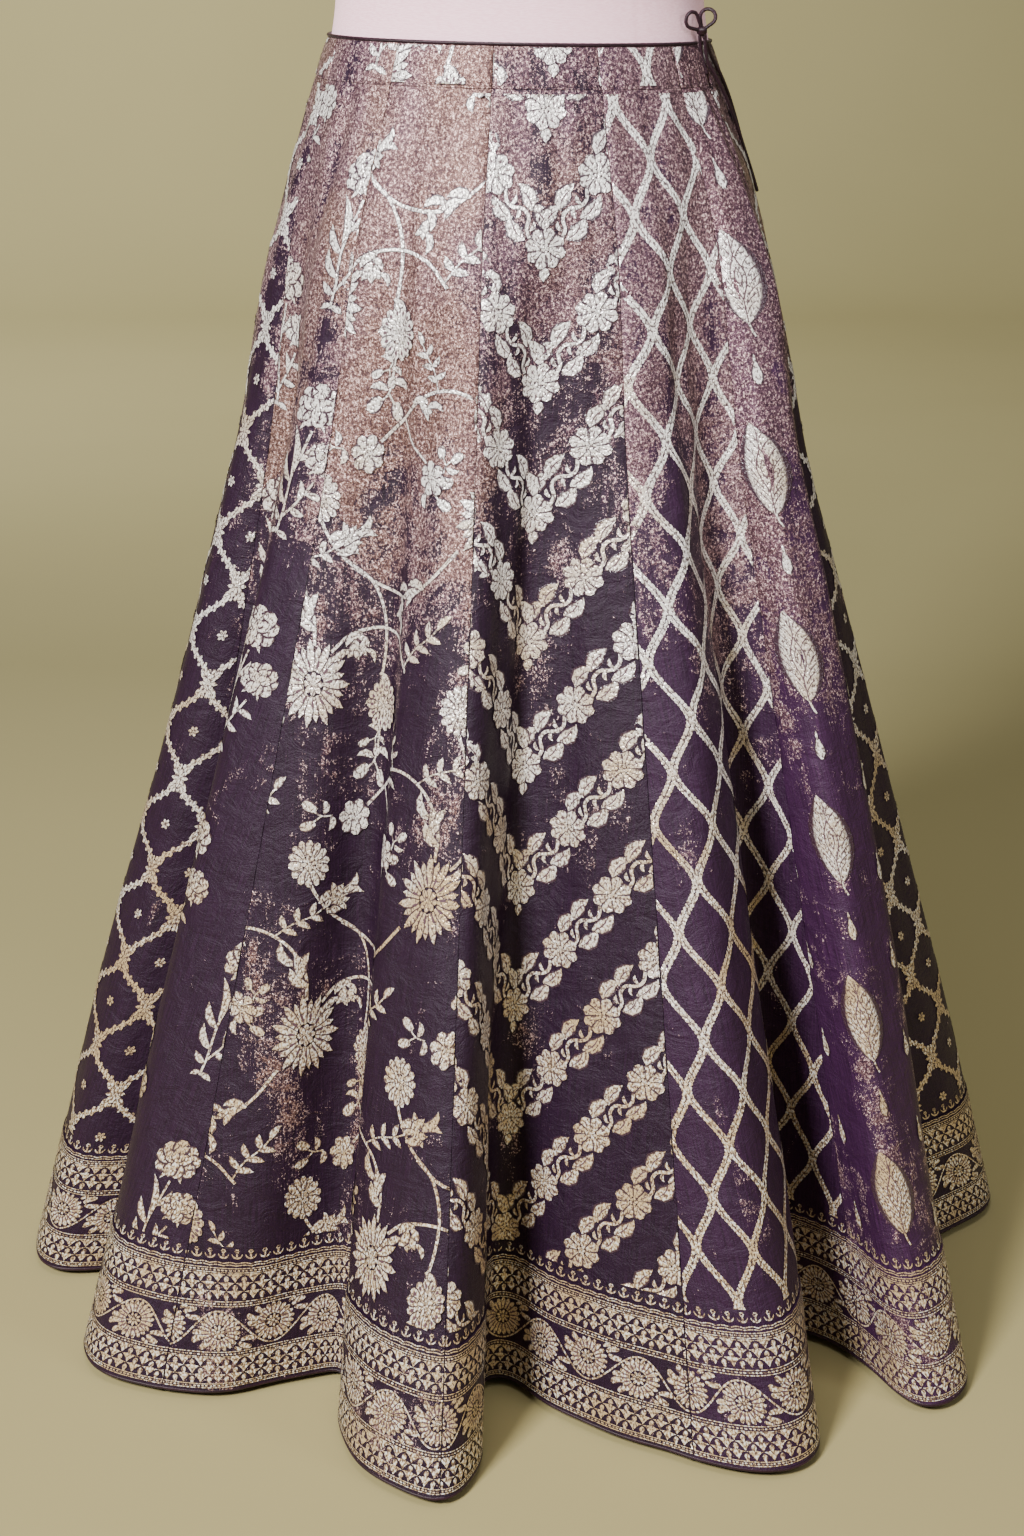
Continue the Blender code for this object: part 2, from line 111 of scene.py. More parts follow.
class Shader:
    """A material's node tree, built one node at a time, with its Principled node ready."""

    def __init__(self, name):
        self.material = bpy.data.materials.new(name)
        self.material.use_nodes = True
        self.nodes = self.material.node_tree.nodes
        self.links = self.material.node_tree.links
        self.surface = self.nodes["Principled BSDF"]

    def add(self, kind, **settings):
        """One node with its settings."""
        node = self.nodes.new(kind)
        for key, value in settings.items():
            setattr(node, key, value)
        return node

    def place(self, kind="Object", shift=(0.0, 0.0, 0.0), scale=(1.0, 1.0, 1.0)):
        """Object coordinates or the cloth's own flat map, moved and scaled to a pattern's size."""
        if kind == "Object":
            coords = self.add("ShaderNodeTexCoord")
        else:
            coords = self.add("ShaderNodeUVMap", uv_map="cloth")
        mapping = self.add("ShaderNodeMapping")
        mapping.inputs["Scale"].default_value = scale
        mapping.inputs["Location"].default_value = shift
        self.links.new(coords.outputs[kind], mapping.inputs["Vector"])
        return mapping.outputs["Vector"]

    def along(self, axis):
        """Metres along one axis of the object."""
        split = self.add("ShaderNodeSeparateXYZ")
        self.links.new(self.place(), split.inputs["Vector"])
        return split.outputs[axis]

    def noise(self, vector, scale, detail=2.0, rough=0.5, distort=0.0):
        """Cloudy noise from 0 to 1 at a place."""
        node = self.add("ShaderNodeTexNoise")
        node.inputs["Scale"].default_value = scale
        node.inputs["Detail"].default_value = detail
        node.inputs["Roughness"].default_value = rough
        node.inputs["Distortion"].default_value = distort
        self.links.new(vector, node.inputs["Vector"])
        return node.outputs["Fac"]

    def math(self, operation, first, second):
        """Sum, difference or product of two values, each a number or a socket."""
        node = self.add("ShaderNodeMath", operation=operation)
        for socket, value in zip(node.inputs, (first, second)):
            if isinstance(value, (int, float)):
                socket.default_value = value
            else:
                self.links.new(value, socket)
        return node.outputs[0]

    def swayed(self, base, noise, weight):
        """A value plus a noise's swing about its middle, times a weight."""
        return self.math("ADD", base, self.math("MULTIPLY", self.math("SUBTRACT", noise, 0.5), weight))

    def ramp(self, value, low, high, out_low=0.0, out_high=1.0):
        """Soft step: out_low where the value is under low, out_high where it is over high."""
        node = self.add("ShaderNodeMapRange", interpolation_type="SMOOTHSTEP")
        for key, number in (("From Min", low), ("From Max", high), ("To Min", out_low), ("To Max", out_high)):
            node.inputs[key].default_value = number
        self.links.new(value, node.inputs["Value"])
        return node.outputs["Result"]

    def mix(self, share, first, second):
        """Colour that goes from the first to the second as the share rises from 0 to 1."""
        node = self.add("ShaderNodeMix", data_type="RGBA")
        sockets = (node.inputs[0], node.inputs[6], node.inputs[7])
        for socket, value in zip(sockets, (share, first, second)):
            if isinstance(value, float):
                socket.default_value = value
            elif isinstance(value, tuple):
                socket.default_value = value + (1.0,)
            else:
                self.links.new(value, socket)
        return node.outputs[2]

    def bump(self, height, strength, distance, below=None):
        """Relief of a height, laid over a coarser relief where one is given."""
        node = self.add("ShaderNodeBump")
        node.inputs["Strength"].default_value = strength
        node.inputs["Distance"].default_value = distance
        self.links.new(height, node.inputs["Height"])
        if below is not None:
            self.links.new(below, node.inputs["Normal"])
        return node.outputs["Normal"]

    def set(self, **values):
        """Puts a number, a colour or a socket on each named input of the surface."""
        for key, value in values.items():
            socket = self.surface.inputs[key.replace("_", " ")]
            if isinstance(value, (int, float)):
                socket.default_value = value
            elif isinstance(value, tuple):
                socket.default_value = value + (1.0,)
            else:
                self.links.new(value, socket)


PAPER_FRONT, PAPER_BACK, PAPER_TURN, PAPER_TOP, PAPER_HALF = -6.0, 5.0, 1.5, 7.0, 9.0


def paper_sweep():
    """Floor that curves up into a backdrop: a straight run, a quarter circle, a straight rise."""
    run = np.linspace(PAPER_FRONT, PAPER_BACK, 24)
    turn = np.linspace(0.0, math.pi / 2.0, 14)[1:]
    rise = np.linspace(PAPER_TURN, PAPER_TOP, 8)[1:]
    wall = np.full(len(rise), PAPER_BACK + PAPER_TURN)
    y = np.concatenate([run, PAPER_BACK + PAPER_TURN * np.sin(turn), wall])
    z = np.concatenate([np.zeros(len(run)), PAPER_TURN - PAPER_TURN * np.cos(turn), rise])
    x = np.linspace(-PAPER_HALF, PAPER_HALF, 20)
    grid = np.stack(np.broadcast_arrays(x[None, :], y[:, None], z[:, None]), axis=-1)
    return grid[None, ::-1]


paper = Shader("studio_paper")
paper_mottle = paper.noise(paper.place(), 1.3, 4.0)
paper_far = paper.mix(paper_mottle, (0.345, 0.307, 0.153), (0.378, 0.337, 0.171))
# Painted light and shade: the paper's colour is painted darker towards the front and lighter towards the back,
# where it rises into the backdrop.
paper.set(Base_Color=paper.mix(paper.ramp(paper.along("Y"), -2.0, 2.2), (0.262, 0.216, 0.092), paper_far),
          Roughness=0.9, Specular_IOR_Level=0.15)
floor = add_piece("studio_floor", grids_to_mesh("studio_floor", [paper_sweep()]), [paper.material])


def lamp(name, place, aim, size, power, colour):
    """Flat lamp at a place, turned to face its aim."""
    data = bpy.data.lights.new(name, "AREA")
    data.shape = "RECTANGLE"
    data.size, data.size_y = size
    data.energy = power
    data.color = colour
    item = bpy.data.objects.new(name, data)
    item.location = place
    away = np.array(place, float) - np.array(aim, float)
    heading = math.atan2(away[0], -away[1])
    tilt = math.atan2(math.hypot(away[0], away[1]), away[2])
    item.rotation_euler = (tilt, 0.0, heading)
    bpy.context.scene.collection.objects.link(item)


lamp("softbox_front", (-1.5, -2.5, 2.7), (0.0, 0.0, 0.65), (0.7, 0.7), 310.0, (1.0, 0.98, 0.96))
lamp("softbox_right", (2.4, -1.6, 2.1), (0.0, 0.0, 0.6), (0.8, 1.4), 26.0, (1.0, 0.98, 0.97))
lamp("overhead", (0.0, -0.6, 3.3), (0.0, 0.0, 0.5), (1.2, 1.2), 34.0, (1.0, 0.98, 0.96))
lamp("wall_wash", (-1.9, 2.6, 3.2), (-1.7, 6.2, 2.2), (2.6, 1.4), 250.0, (1.0, 0.98, 0.94))
world = bpy.context.scene.world or bpy.data.worlds.new("studio_air")
bpy.context.scene.world = world
world.use_nodes = True
air = world.node_tree.nodes["Background"]
air.inputs["Color"].default_value = (0.93, 0.90, 0.86, 1.0)
air.inputs["Strength"].default_value = 0.19


# Dress form
# A padded body form on a pole: hips, waist, bust and shoulders under one tight cover of
# plain pale pink cotton, with sewn seams down the front, back, sides and between.
FORM_HEIGHTS = (0.790, 0.797, 0.815, 0.850, 0.890, 0.930, 0.965, 1.000, 1.030, 1.065, 1.110, 1.160,
                1.205, 1.250, 1.300, 1.345, 1.380, 1.405, 1.425, 1.442, 1.462, 1.490)
# Half width, half depth and middle's Y at each height, and the seams' angles from the front
FORM_WIDTHS = (0.1360, 0.1560, 0.1640, 0.1660, 0.1630, 0.1540, 0.1444, 0.1368, 0.1325, 0.1335, 0.1420, 0.1530,
               0.1590, 0.1600, 0.1600, 0.1620, 0.1560, 0.1330, 0.0980, 0.0700, 0.0580, 0.0550)
FORM_DEPTHS = (0.0980, 0.1120, 0.1200, 0.1230, 0.1210, 0.1140, 0.1072, 0.1023, 0.0990, 0.1000, 0.1070, 0.1180,
               0.1250, 0.1210, 0.1080, 0.0950, 0.0830, 0.0720, 0.0620, 0.0560, 0.0530, 0.0520)
FORM_MIDDLES = (0.006, 0.006, 0.006, 0.005, 0.003, 0.001, 0.000, 0.000, 0.000, -0.001, -0.004, -0.010, -0.015,
                -0.013, -0.006, 0.000, 0.004, 0.006, 0.004, -0.001, -0.006, -0.009)
FORM_SEAMS = (2.0, 38.0, 90.0, 142.0, 180.0, 218.0, 270.0, 322.0)
SEAM_SUNK, SEAM_SPREAD = 0.0006, 0.55


def smooth_through(height, knots, values):
    """Cubic through a table with slopes from its neighbours, so that no ring shows."""
    knots, values = np.array(knots), np.array(values)
    slopes = np.gradient(values, knots)
    i = np.clip(np.searchsorted(knots, height) - 1, 0, len(knots) - 2)
    gap = knots[i + 1] - knots[i]
    s = (height - knots[i]) / gap
    return ((1 + 2 * s) * (1 - s) ** 2 * values[i] + s * (1 - s) ** 2 * gap * slopes[i]
            + s * s * (3 - 2 * s) * values[i + 1] + s * s * (s - 1) * gap * slopes[i + 1])


def form_cover():
    """Ellipse at every height from the smoothed tables, pinched along each sewn seam, closed at both ends."""
    height = np.linspace(FORM_HEIGHTS[0], FORM_HEIGHTS[-1], 110)[:, None]
    turn = np.linspace(0.0, 2.0 * math.pi, 288, endpoint=False)[None, :]
    from_seams = (np.degrees(turn)[..., None] - np.array(FORM_SEAMS) + 180.0) % 360.0 - 180.0
    gap = np.min(np.abs(from_seams), axis=-1)
    pinch = SEAM_SUNK * np.exp(-(gap / SEAM_SPREAD) ** 2)
    wide = smooth_through(height, FORM_HEIGHTS, FORM_WIDTHS) - pinch
    deep = smooth_through(height, FORM_HEIGHTS, FORM_DEPTHS) - pinch
    middle = smooth_through(height, FORM_HEIGHTS, FORM_MIDDLES)
    x, y = wide * np.sin(turn), middle - deep * np.cos(turn)
    side = np.stack([x, y, height + 0.0 * turn], axis=-1)
    shrink = np.array([0.97, 0.6, 0.02])[:, None, None]
    foot, cap = (shrink * (ring - ring.mean(axis=1, keepdims=True)) + ring.mean(axis=1, keepdims=True)
                 for ring in (side[:1], side[-1:]))
    return np.concatenate([foot[::-1], side, cap])[None, ::-1]


cotton = Shader("form_cotton")
cotton_slub = cotton.noise(cotton.place(scale=(260.0, 260.0, 1500.0)), 1.0, 2.0)
cotton_soft = cotton.noise(cotton.place(), 14.0, 3.0)
cotton_tone = cotton.mix(cotton.ramp(cotton_slub, 0.35, 0.65), (0.910, 0.530, 0.630), (0.990, 0.640, 0.735))
cotton_cloud = cotton.ramp(cotton_soft, 0.3, 0.7, 0.0, 0.35)
cotton.set(Base_Color=cotton.mix(cotton_cloud, cotton_tone, (0.97, 0.62, 0.71)),
           Roughness=0.92, Specular_IOR_Level=0.2, Sheen_Weight=0.25, Sheen_Roughness=0.5,
           Normal=cotton.bump(cotton_slub, 0.35, 0.0006))
form = add_piece("form_cover", grids_to_mesh("form_cover", [form_cover()], closed=True), [cotton.material])
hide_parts("form_torso")
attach(form, "root")

# The stand's neck cap and base are turned wood, its pole brushed steel: the CAD shapes with finishes.
stain = Shader("stand_wood")
stain_grain = stain.noise(stain.place(scale=(14.0, 90.0, 14.0)), 1.0, 5.0, 0.6, 0.8)
stain_tone = stain.mix(stain.ramp(stain_grain, 0.3, 0.7), (0.130, 0.062, 0.030), (0.300, 0.165, 0.085))
stain.set(Base_Color=stain_tone,
          Roughness=0.38, Coat_Weight=0.25, Coat_Roughness=0.2, Normal=stain.bump(stain_grain, 0.12, 0.0004))
steel = Shader("stand_steel")
steel_brush = steel.noise(steel.place(scale=(900.0, 900.0, 6.0)), 1.0, 2.0)
steel.set(Base_Color=(0.60, 0.60, 0.61), Metallic=1.0,
          Roughness=steel.ramp(steel_brush, 0.3, 0.7, 0.24, 0.38))
for node, finish in (("form_neck_cap", stain), ("form_base", stain), ("form_pole", steel)):
    bpy.data.objects[node].material_slots[0].material = finish.material


# Kalis
# Twelve tapered panels of metallic tissue, cut from six brocades and sewn edge to edge. The cloth
# leaves the band, swells over the hips and falls in eleven folds to the floor.
WAIST_LOW_A, WAIST_LOW_B, WAIST_LOW_Z = 0.1485, 0.1120, 0.9725
WAIST_TOP_A, WAIST_TOP_B, WAIST_TOP_Z = 0.1390, 0.1045, 1.0000
WAIST_TILT = 0.0022
HEM_Z = 0.0085
FOLD_START, FOLD_POWER, HIP_BULGE, FOLD_CENTRE_Y = 0.04, 1.18, 0.0085, 0.05
SIDE_FOLD = (2.70, 0.50, 0.031, 0.25)
SLIT_LENGTH, SLIT_HALF = 0.21, 0.0022
KALI_LENGTH = 0.985
KALIS, KALI_SAMPLES = 12, 200
WAIST_SEAMS = (-7.5, 22.5, 50.0, 66.0, 98.4, 130.7, 163.1, 195.4, 227.8, 260.1, 292.5, 322.5, 352.5)
HEM_START = (-0.056, -0.370)
# One row a fold of the hem, as (angle from the front, radius): valley, rising side, crest, falling side
FOLDS = (
    ((-100.0, 0.300), (-95.0, 0.385), (-83.0, 0.424), (-74.0, 0.409)),
    ((-68.0, 0.258), (-60.2, 0.406), (-54.0, 0.424), (-39.0, 0.374)),
    ((-28.5, 0.288), (-21.5, 0.374), (-7.0, 0.427), (-4.9, 0.385)),
    ((-5.5, 0.268), (11.0, 0.342), (26.5, 0.434), (33.5, 0.410)),
    ((46.0, 0.288), (49.0, 0.338), (45.2, 0.444), (56.5, 0.428)),
    ((67.0, 0.280), (81.0, 0.372), (93.0, 0.430), (101.0, 0.402)),
    ((108.0, 0.300), (115.0, 0.385), (125.0, 0.425), (133.0, 0.395)),
    ((139.0, 0.285), (147.0, 0.375), (156.0, 0.436), (163.0, 0.405)),
    ((170.0, 0.300), (177.0, 0.380), (187.0, 0.420), (195.0, 0.390)),
    ((200.0, 0.280), (208.0, 0.380), (216.0, 0.432), (225.0, 0.400)),
    ((231.0, 0.295), (239.0, 0.375), (248.0, 0.424), (255.0, 0.390)),
)


def closed_curve(points, steps=36):
    """Centripetal spline through a closed ring of plan points."""
    parts = []
    count = len(points)
    for i in range(count):
        p0, p1, p2, p3 = points[i - 1], points[i], points[(i + 1) % count], points[(i + 2) % count]
        t1 = math.sqrt(np.linalg.norm(p1 - p0))
        t2 = t1 + math.sqrt(np.linalg.norm(p2 - p1))
        t3 = t2 + math.sqrt(np.linalg.norm(p3 - p2))
        t = np.linspace(t1, t2, steps, endpoint=False)[:, None]
        a1 = (t1 - t) / t1 * p0 + t / t1 * p1
        a2 = (t2 - t) / (t2 - t1) * p1 + (t - t1) / (t2 - t1) * p2
        a3 = (t3 - t) / (t3 - t2) * p2 + (t - t2) / (t3 - t2) * p3
        b1 = (t2 - t) / t2 * a1 + t / t2 * a2
        b2 = (t3 - t) / (t3 - t1) * a2 + (t - t1) / (t3 - t1) * a3
        parts.append((t2 - t) / (t2 - t1) * b1 + (t - t1) / (t2 - t1) * b2)
    return np.concatenate(parts)


def run_along(line):
    """Distance along a line at each of its points."""
    return np.concatenate([[0.0], np.cumsum(np.linalg.norm(np.diff(line, axis=0), axis=1))])


def hem_tables():
    """The hem's plan and its smoothed middle line, in samples even along the cloth."""
    ring = np.radians(np.array([[angle for angle, radius in fold] for fold in FOLDS])).ravel()
    away = np.array([[radius for angle, radius in fold] for fold in FOLDS]).ravel()
    curve = closed_curve(np.stack([away * np.sin(ring), FOLD_CENTRE_Y - away * np.cos(ring)], axis=1))
    first = int(np.argmin(np.hypot(curve[:, 0] - HEM_START[0], curve[:, 1] - HEM_START[1])))
    curve = np.roll(curve, -first, axis=0)
    closed = np.vstack([curve, curve[:1]])
    run = run_along(closed)
    count = KALIS * KALI_SAMPLES
    even = np.linspace(0.0, run[-1], count, endpoint=False)
    hem = np.stack([np.interp(even, run, closed[:, 0]), np.interp(even, run, closed[:, 1])], axis=1)
    apart = np.minimum(np.arange(count), count - np.arange(count))
    plans = []
    for reach in (9.0, 95.0):
        kernel = np.exp(-0.5 * (apart / reach) ** 2)
        spread = np.fft.fft(kernel / kernel.sum())[:, None]
        plans.append(np.real(np.fft.ifft(np.fft.fft(hem, axis=0) * spread, axis=0)))
    return plans


HEM_PLAN, MIDDLE_PLAN = hem_tables()


def ring_lookup(table, u):
    """Straight line between the two samples next to u."""
    place = np.mod(u, KALIS) * KALI_SAMPLES
    low = np.floor(place).astype(int) % len(table)
    part = (place - np.floor(place))[..., None]
    return table[low] * (1.0 - part) + table[(low + 1) % len(table)] * part


def waist_angle(u):
    """Angle from the front, straight between the band's joins."""
    return np.radians(np.interp(np.mod(u, KALIS), np.arange(KALIS + 1), WAIST_SEAMS))


def waist_ring(u, half_width, half_depth, height):
    """Point of a level ellipse round the waist, a little lower on the wearer's left."""
    angle = waist_angle(u)
    x, y = half_width * np.sin(angle), -half_depth * np.cos(angle)
    return np.stack(np.broadcast_arrays(x, y, height - WAIST_TILT * x / WAIST_TOP_A), axis=-1)


def cloth(u, t):
    """Waist ellipse drawn straight to the hem's middle line, plus folds that grow downwards and the hips'
    swell; the fold at the wearer's left side swells more and starts sooner."""
    u, t = np.broadcast_arrays(np.asarray(u, float), np.asarray(t, float))
    top = waist_ring(u, WAIST_LOW_A, WAIST_LOW_B, WAIST_LOW_Z - 0.0004)
    hem, middle = ring_lookup(HEM_PLAN, u), ring_lookup(MIDDLE_PLAN, u)
    place, reach, swell, sooner = SIDE_FOLD
    near = np.exp(-((np.mod(u, KALIS) - place) / reach) ** 2)
    grow = np.clip((t - FOLD_START) / (1.0 - FOLD_START), 0.0, 1.0) ** (FOLD_POWER - sooner * near)
    plan = top[..., :2] + t[..., None] * (middle - top[..., :2]) + grow[..., None] * (hem - middle)
    hip = HIP_BULGE * np.exp(-((t - 0.11) / 0.10) ** 2) * (1.0 - np.exp(-t / 0.04))
    hip = hip + swell * near * (1.0 - np.exp(-t / 0.10)) * (1.0 - np.clip(t, 0.0, 1.0) ** 1.5)
    away = top[..., :2] / np.linalg.norm(top[..., :2], axis=-1, keepdims=True)
    z = top[..., 2] + t * (HEM_Z - top[..., 2])
    return np.concatenate([plan + hip[..., None] * away, z[..., None]], axis=-1)


def cloth_normal(u, t):
    """Outward direction, square to the steps across and down the cloth."""
    across = cloth(u + 0.02, t) - cloth(u - 0.02, t)
    down = cloth(u, np.clip(t + 0.004, 0.0, 1.0)) - cloth(u, np.clip(t - 0.004, 0.0, 1.0))
    out = np.cross(down, across)
    return out / np.linalg.norm(out, axis=-1, keepdims=True)


chance = np.random.default_rng(12)
RIPPLES = chance.uniform(0.0, 2.0 * math.pi, (KALIS, 4))
# Heights of the small folds, in metres
GATHER, DRAG, LONG_SOFT, LONG_FINE = 0.0016, 0.0013, 0.0029, 0.0016
SEAM_GROOVE, PUCKER, SLIT_TUCK = 0.0006, 0.00035, 0.003


def creases(u, t):
    """Height of the small folds: gathers and slanting drag lines under the band, long soft and fine
    ripples, a groove and puckers along each seam, and the tuck behind the side opening."""
    circle = 2.0 * math.pi
    inside = u - np.floor(u)
    phase = RIPPLES[np.floor(np.mod(u, KALIS)).astype(int)]
    keep = np.sin(math.pi * inside) ** 0.7
    gathers = GATHER * np.exp(-t / 0.09) * (1.0 - np.exp(-t / 0.012))
    gathers = gathers * np.sin(circle * 2.6 * inside + phase[..., 0])
    drag = DRAG * np.exp(-((t - 0.17) / 0.16) ** 2)
    drag = drag * np.sin(circle * (1.3 * inside + 5.5 * t) + phase[..., 3])
    wander = 0.35 * np.sin(5.0 * t + phase[..., 1])
    long_soft = LONG_SOFT * t * np.sin(circle * (1.9 * inside + wander) + phase[..., 2])
    long_fine = LONG_FINE * np.sqrt(t) * np.sin(circle * (4.3 * inside - wander) + phase[..., 3])
    gap = np.minimum(inside, 1.0 - inside) * (0.065 + 0.285 * t)
    seam = -SEAM_GROOVE * np.exp(-(gap / 0.0016) ** 2)
    pucker = PUCKER * np.exp(-(gap / 0.009) ** 2) * np.sin(t * 420.0 + 3.0 * np.sin(t * 37.0 + phase[..., 0]))
    beside = np.mod(u, KALIS) - 3.0
    tuck = np.where(beside >= 0.0, np.clip(1.0 - beside / 0.25, 0.0, 1.0), 0.0) ** 2
    tuck = -SLIT_TUCK * tuck * np.clip(1.0 - t / SLIT_LENGTH, 0.0, 1.0)
    return keep * (gathers + long_soft + long_fine + drag) + seam + pucker + tuck


def on_skirt(u, t, lift=0.0):
    """Point of the finished cloth: raised outwards by the small folds and a lift."""
    raised = creases(u, t) + lift
    return cloth(u, t) + raised[..., None] * cloth_normal(u, t)


# Real width of each kali at 41 heights, so that a motif keeps its size on the cloth
WIDTH_ROWS = np.linspace(0.0, 1.0, 41)
WIDTH_STEPS = [np.diff(cloth(k + np.linspace(0.0, 1.0, 160)[None, :], WIDTH_ROWS[:, None]), axis=1)
               for k in range(KALIS)]
WIDTH_TABLE = np.stack([np.linalg.norm(steps, axis=2).sum(axis=1) for steps in WIDTH_STEPS])


def kali_width(k, t):
    """Width read from the table, straight between its heights."""
    return np.interp(t, WIDTH_ROWS, WIDTH_TABLE[k])


def shell(outer, inner, flat, rim_flat):
    """Outer and inner skin, joined by four narrow strips round the rim; each with its flat places."""
    def rim(out, back):
        return [np.stack([out[0], back[0]]), np.stack([out[-1], back[-1]]),
                np.stack([out[:, 0], back[:, 0]], axis=1), np.stack([out[:, -1], back[:, -1]], axis=1)]
    top, foot, left, right = rim(outer, inner)
    grids = [outer, inner[:, ::-1], top[::-1], foot, left[:, ::-1], right]
    flats = [flat, flat[:, ::-1]] + rim(rim_flat, rim_flat)
    return [grid[None] for grid in grids], [part[None] for part in flats]


SEAM_DRAWN = 0.00018


def kali_shell(k, top, bottom, rows, cols, lift, wall):
    """A kali's cloth between two heights, drawn back a hair at each seam and open along the side slit."""
    t = np.linspace(top, bottom, rows)[:, None]
    width = kali_width(k, t)
    drawn = SEAM_DRAWN / width
    slit = SLIT_HALF * np.clip(1.0 - t / SLIT_LENGTH, 0.0, 1.0) ** 0.5 / width
    low = k + drawn + (slit if k == 3 else 0.0)
    high = k + 1.0 - drawn - (slit if k == 2 else 0.0)
    share = np.linspace(0.0, 1.0, cols)[None, :]
    u = low + (high - low) * share
    t = t + 0.0 * u
    flat = np.stack([(u - k - 0.5) * width, t * KALI_LENGTH], axis=-1)
    return shell(on_skirt(u, t, lift), on_skirt(u, t, lift - wall), flat, flat)


def tissue_finish(name, mauve, copper, hide, mottle, silk):
    """Aubergine warp over a bright metal weft, with painted sheen: the weft's colour is painted in close grains
    high up the skirt, where the lamps above would rake it, thins out in crushed streaks below the hips, and
    leaves scattered painted glints near the hem."""
    made = Shader(name)
    streak = made.noise(made.place("UV", (3.0 + hide, 1.0, 0.0), (32.0, 9.0, 1.0)), 1.0, 4.0, 0.62, 0.6)
    broad = made.noise(made.place("Object", (3.1, 0.4, hide), (1.0, 1.0, 0.6)), 8.0, 3.0, 0.55)
    crush = made.noise(made.place("Object", (5.0, 1.0, 2.0), (1.0, 1.0, 1.3)), 46.0, 5.0, 0.68, 0.8)
    grain = made.noise(made.place(scale=(1.0, 1.0, 0.8)), 560.0, 3.0, 0.95)
    hair = made.noise(made.place("UV", scale=(1100.0, 34.0, 1.0)), 1.0, 3.0, 0.6)
    # Painted sheen: the weft's bright colour is painted in by height, most of it high up where the lamps above
    # catch the cloth; the weave's streaks and grain break it up, and the crush noise paints glints along the
    # crease crests.
    painted_sheen_and_weave = made.ramp(made.along("Z"), 0.38, 0.93, -0.46, 0.36)
    for part, weight in ((streak, 1.60), (broad, 1.20), (crush, 1.45), (grain, 1.45 * mottle), (hair, 0.55)):
        painted_sheen_and_weave = made.swayed(painted_sheen_and_weave, part, weight)
    # Where the bright weft shows: partly the weave's own pattern, partly the painted sheen above.
    weft = made.ramp(painted_sheen_and_weave, 0.02 + hide, 0.16 + hide)
    shade = made.mix(made.ramp(hair, 0.30, 0.70), tuple(0.75 * silk * c for c in DARK_WARP),
                     tuple(1.6 * silk * c for c in DARK_WARP))
    tint = made.mix(made.ramp(broad, 0.42, 0.62), mauve, copper)
    bright = made.mix(made.ramp(grain, 0.44, 0.54), made.mix(0.80, tint, DARK_WARP), tint)
    # Painted glints: single grains of weft painted near-white rose where the painted sheen falls.
    painted_glint = made.math("MULTIPLY", made.ramp(grain, 0.56, 0.62), weft)
    made.set(Base_Color=made.mix(painted_glint, made.mix(weft, shade, bright), (0.86, 0.62, 0.60)),
             Metallic=made.ramp(weft, 0.0, 1.0, 0.05, 0.45), Roughness=made.ramp(weft, 0.0, 1.0, 0.50, 0.34),
             Specular_IOR_Level=0.28)
    soft = made.bump(crush, 0.50, 0.0046)
    fine = made.bump(hair, 0.30, 0.0003, soft)
    made.set(Normal=made.bump(grain, 0.60, 0.0010, fine))
    return made.material


DARK_WARP = (0.0135, 0.0036, 0.0150)
MAUVE, COPPER = (0.205, 0.112, 0.140), (0.268, 0.150, 0.120)
# The six brocades: weft colours (shown where the painted sheen falls), how far the weft and its painted sheen
# are hidden, how strong its grain, how light the silk
BROCADES = (
    ("chevron", (0.160, 0.085, 0.112), (0.215, 0.120, 0.105), 0.13, 1.25, 0.9),
    ("trellis", MAUVE, (0.225, 0.128, 0.140), -0.03, 1.0, 1.5),
    ("buti", (0.165, 0.084, 0.118), (0.180, 0.092, 0.112), -0.25, 0.8, 2.1),
    ("jaal", MAUVE, COPPER, 0.14, 1.0, 1.0),
    ("rose", MAUVE, COPPER, 0.05, 0.8, 1.0),
    ("vine", (0.190, 0.103, 0.130), (0.240, 0.130, 0.106), -0.12, 1.2, 0.9),
)
TISSUES = [tissue_finish("tissue_" + name, *settings) for name, *settings in BROCADES]
lining = Shader("lining_cotton")
lining_weave = lining.noise(lining.place("UV", scale=(900.0, 900.0, 1.0)), 1.0, 2.0)
lining.set(Base_Color=lining.mix(lining_weave, (0.050, 0.020, 0.040), (0.085, 0.040, 0.070)), Roughness=0.85,
           Normal=lining.bump(lining_weave, 0.3, 0.0003))

KALI_WALL = 0.0009
for k in range(KALIS):
    grids, flats = kali_shell(k, 0.0, 1.0, 98, 42, 0.0, KALI_WALL)
    mesh = grids_to_mesh("kali_cloth_%02d" % (k + 1), grids, flats, (0, 1, 0, 0, 0, 0))
    piece = add_piece(mesh.name, mesh, [TISSUES[k % 6], lining.material])
    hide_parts("kali_%02d" % (k + 1))
    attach(piece, "root")


# Zari designs of the six brocades
# Silver-gilt thread floated over the tissue: each motif is a close patch of it, ground threads
# left between the petals and veins. The designs are woven before the kalis are cut, so seams cut them.
SIDES = np.array([-1.0, 0.0, 1.0])
PETAL = (0.40, 0.66, 0.90, 1.00, 0.38)
LOBE = (0.55, 0.82, 1.00, 0.96, 0.46)
POINT = (0.30, 0.85, 1.00, 0.70, 0.05)
DROP = (0.05, 0.55, 0.95, 1.00, 0.35)
LANCE = (0.38, 0.78, 1.00, 0.80, 0.08)
HEART = (0.15, 0.85, 1.00, 0.62, 0.05)
SEED = (0.50, 1.00, 0.55)
BEAD = (0.6, 1.0, 0.6)


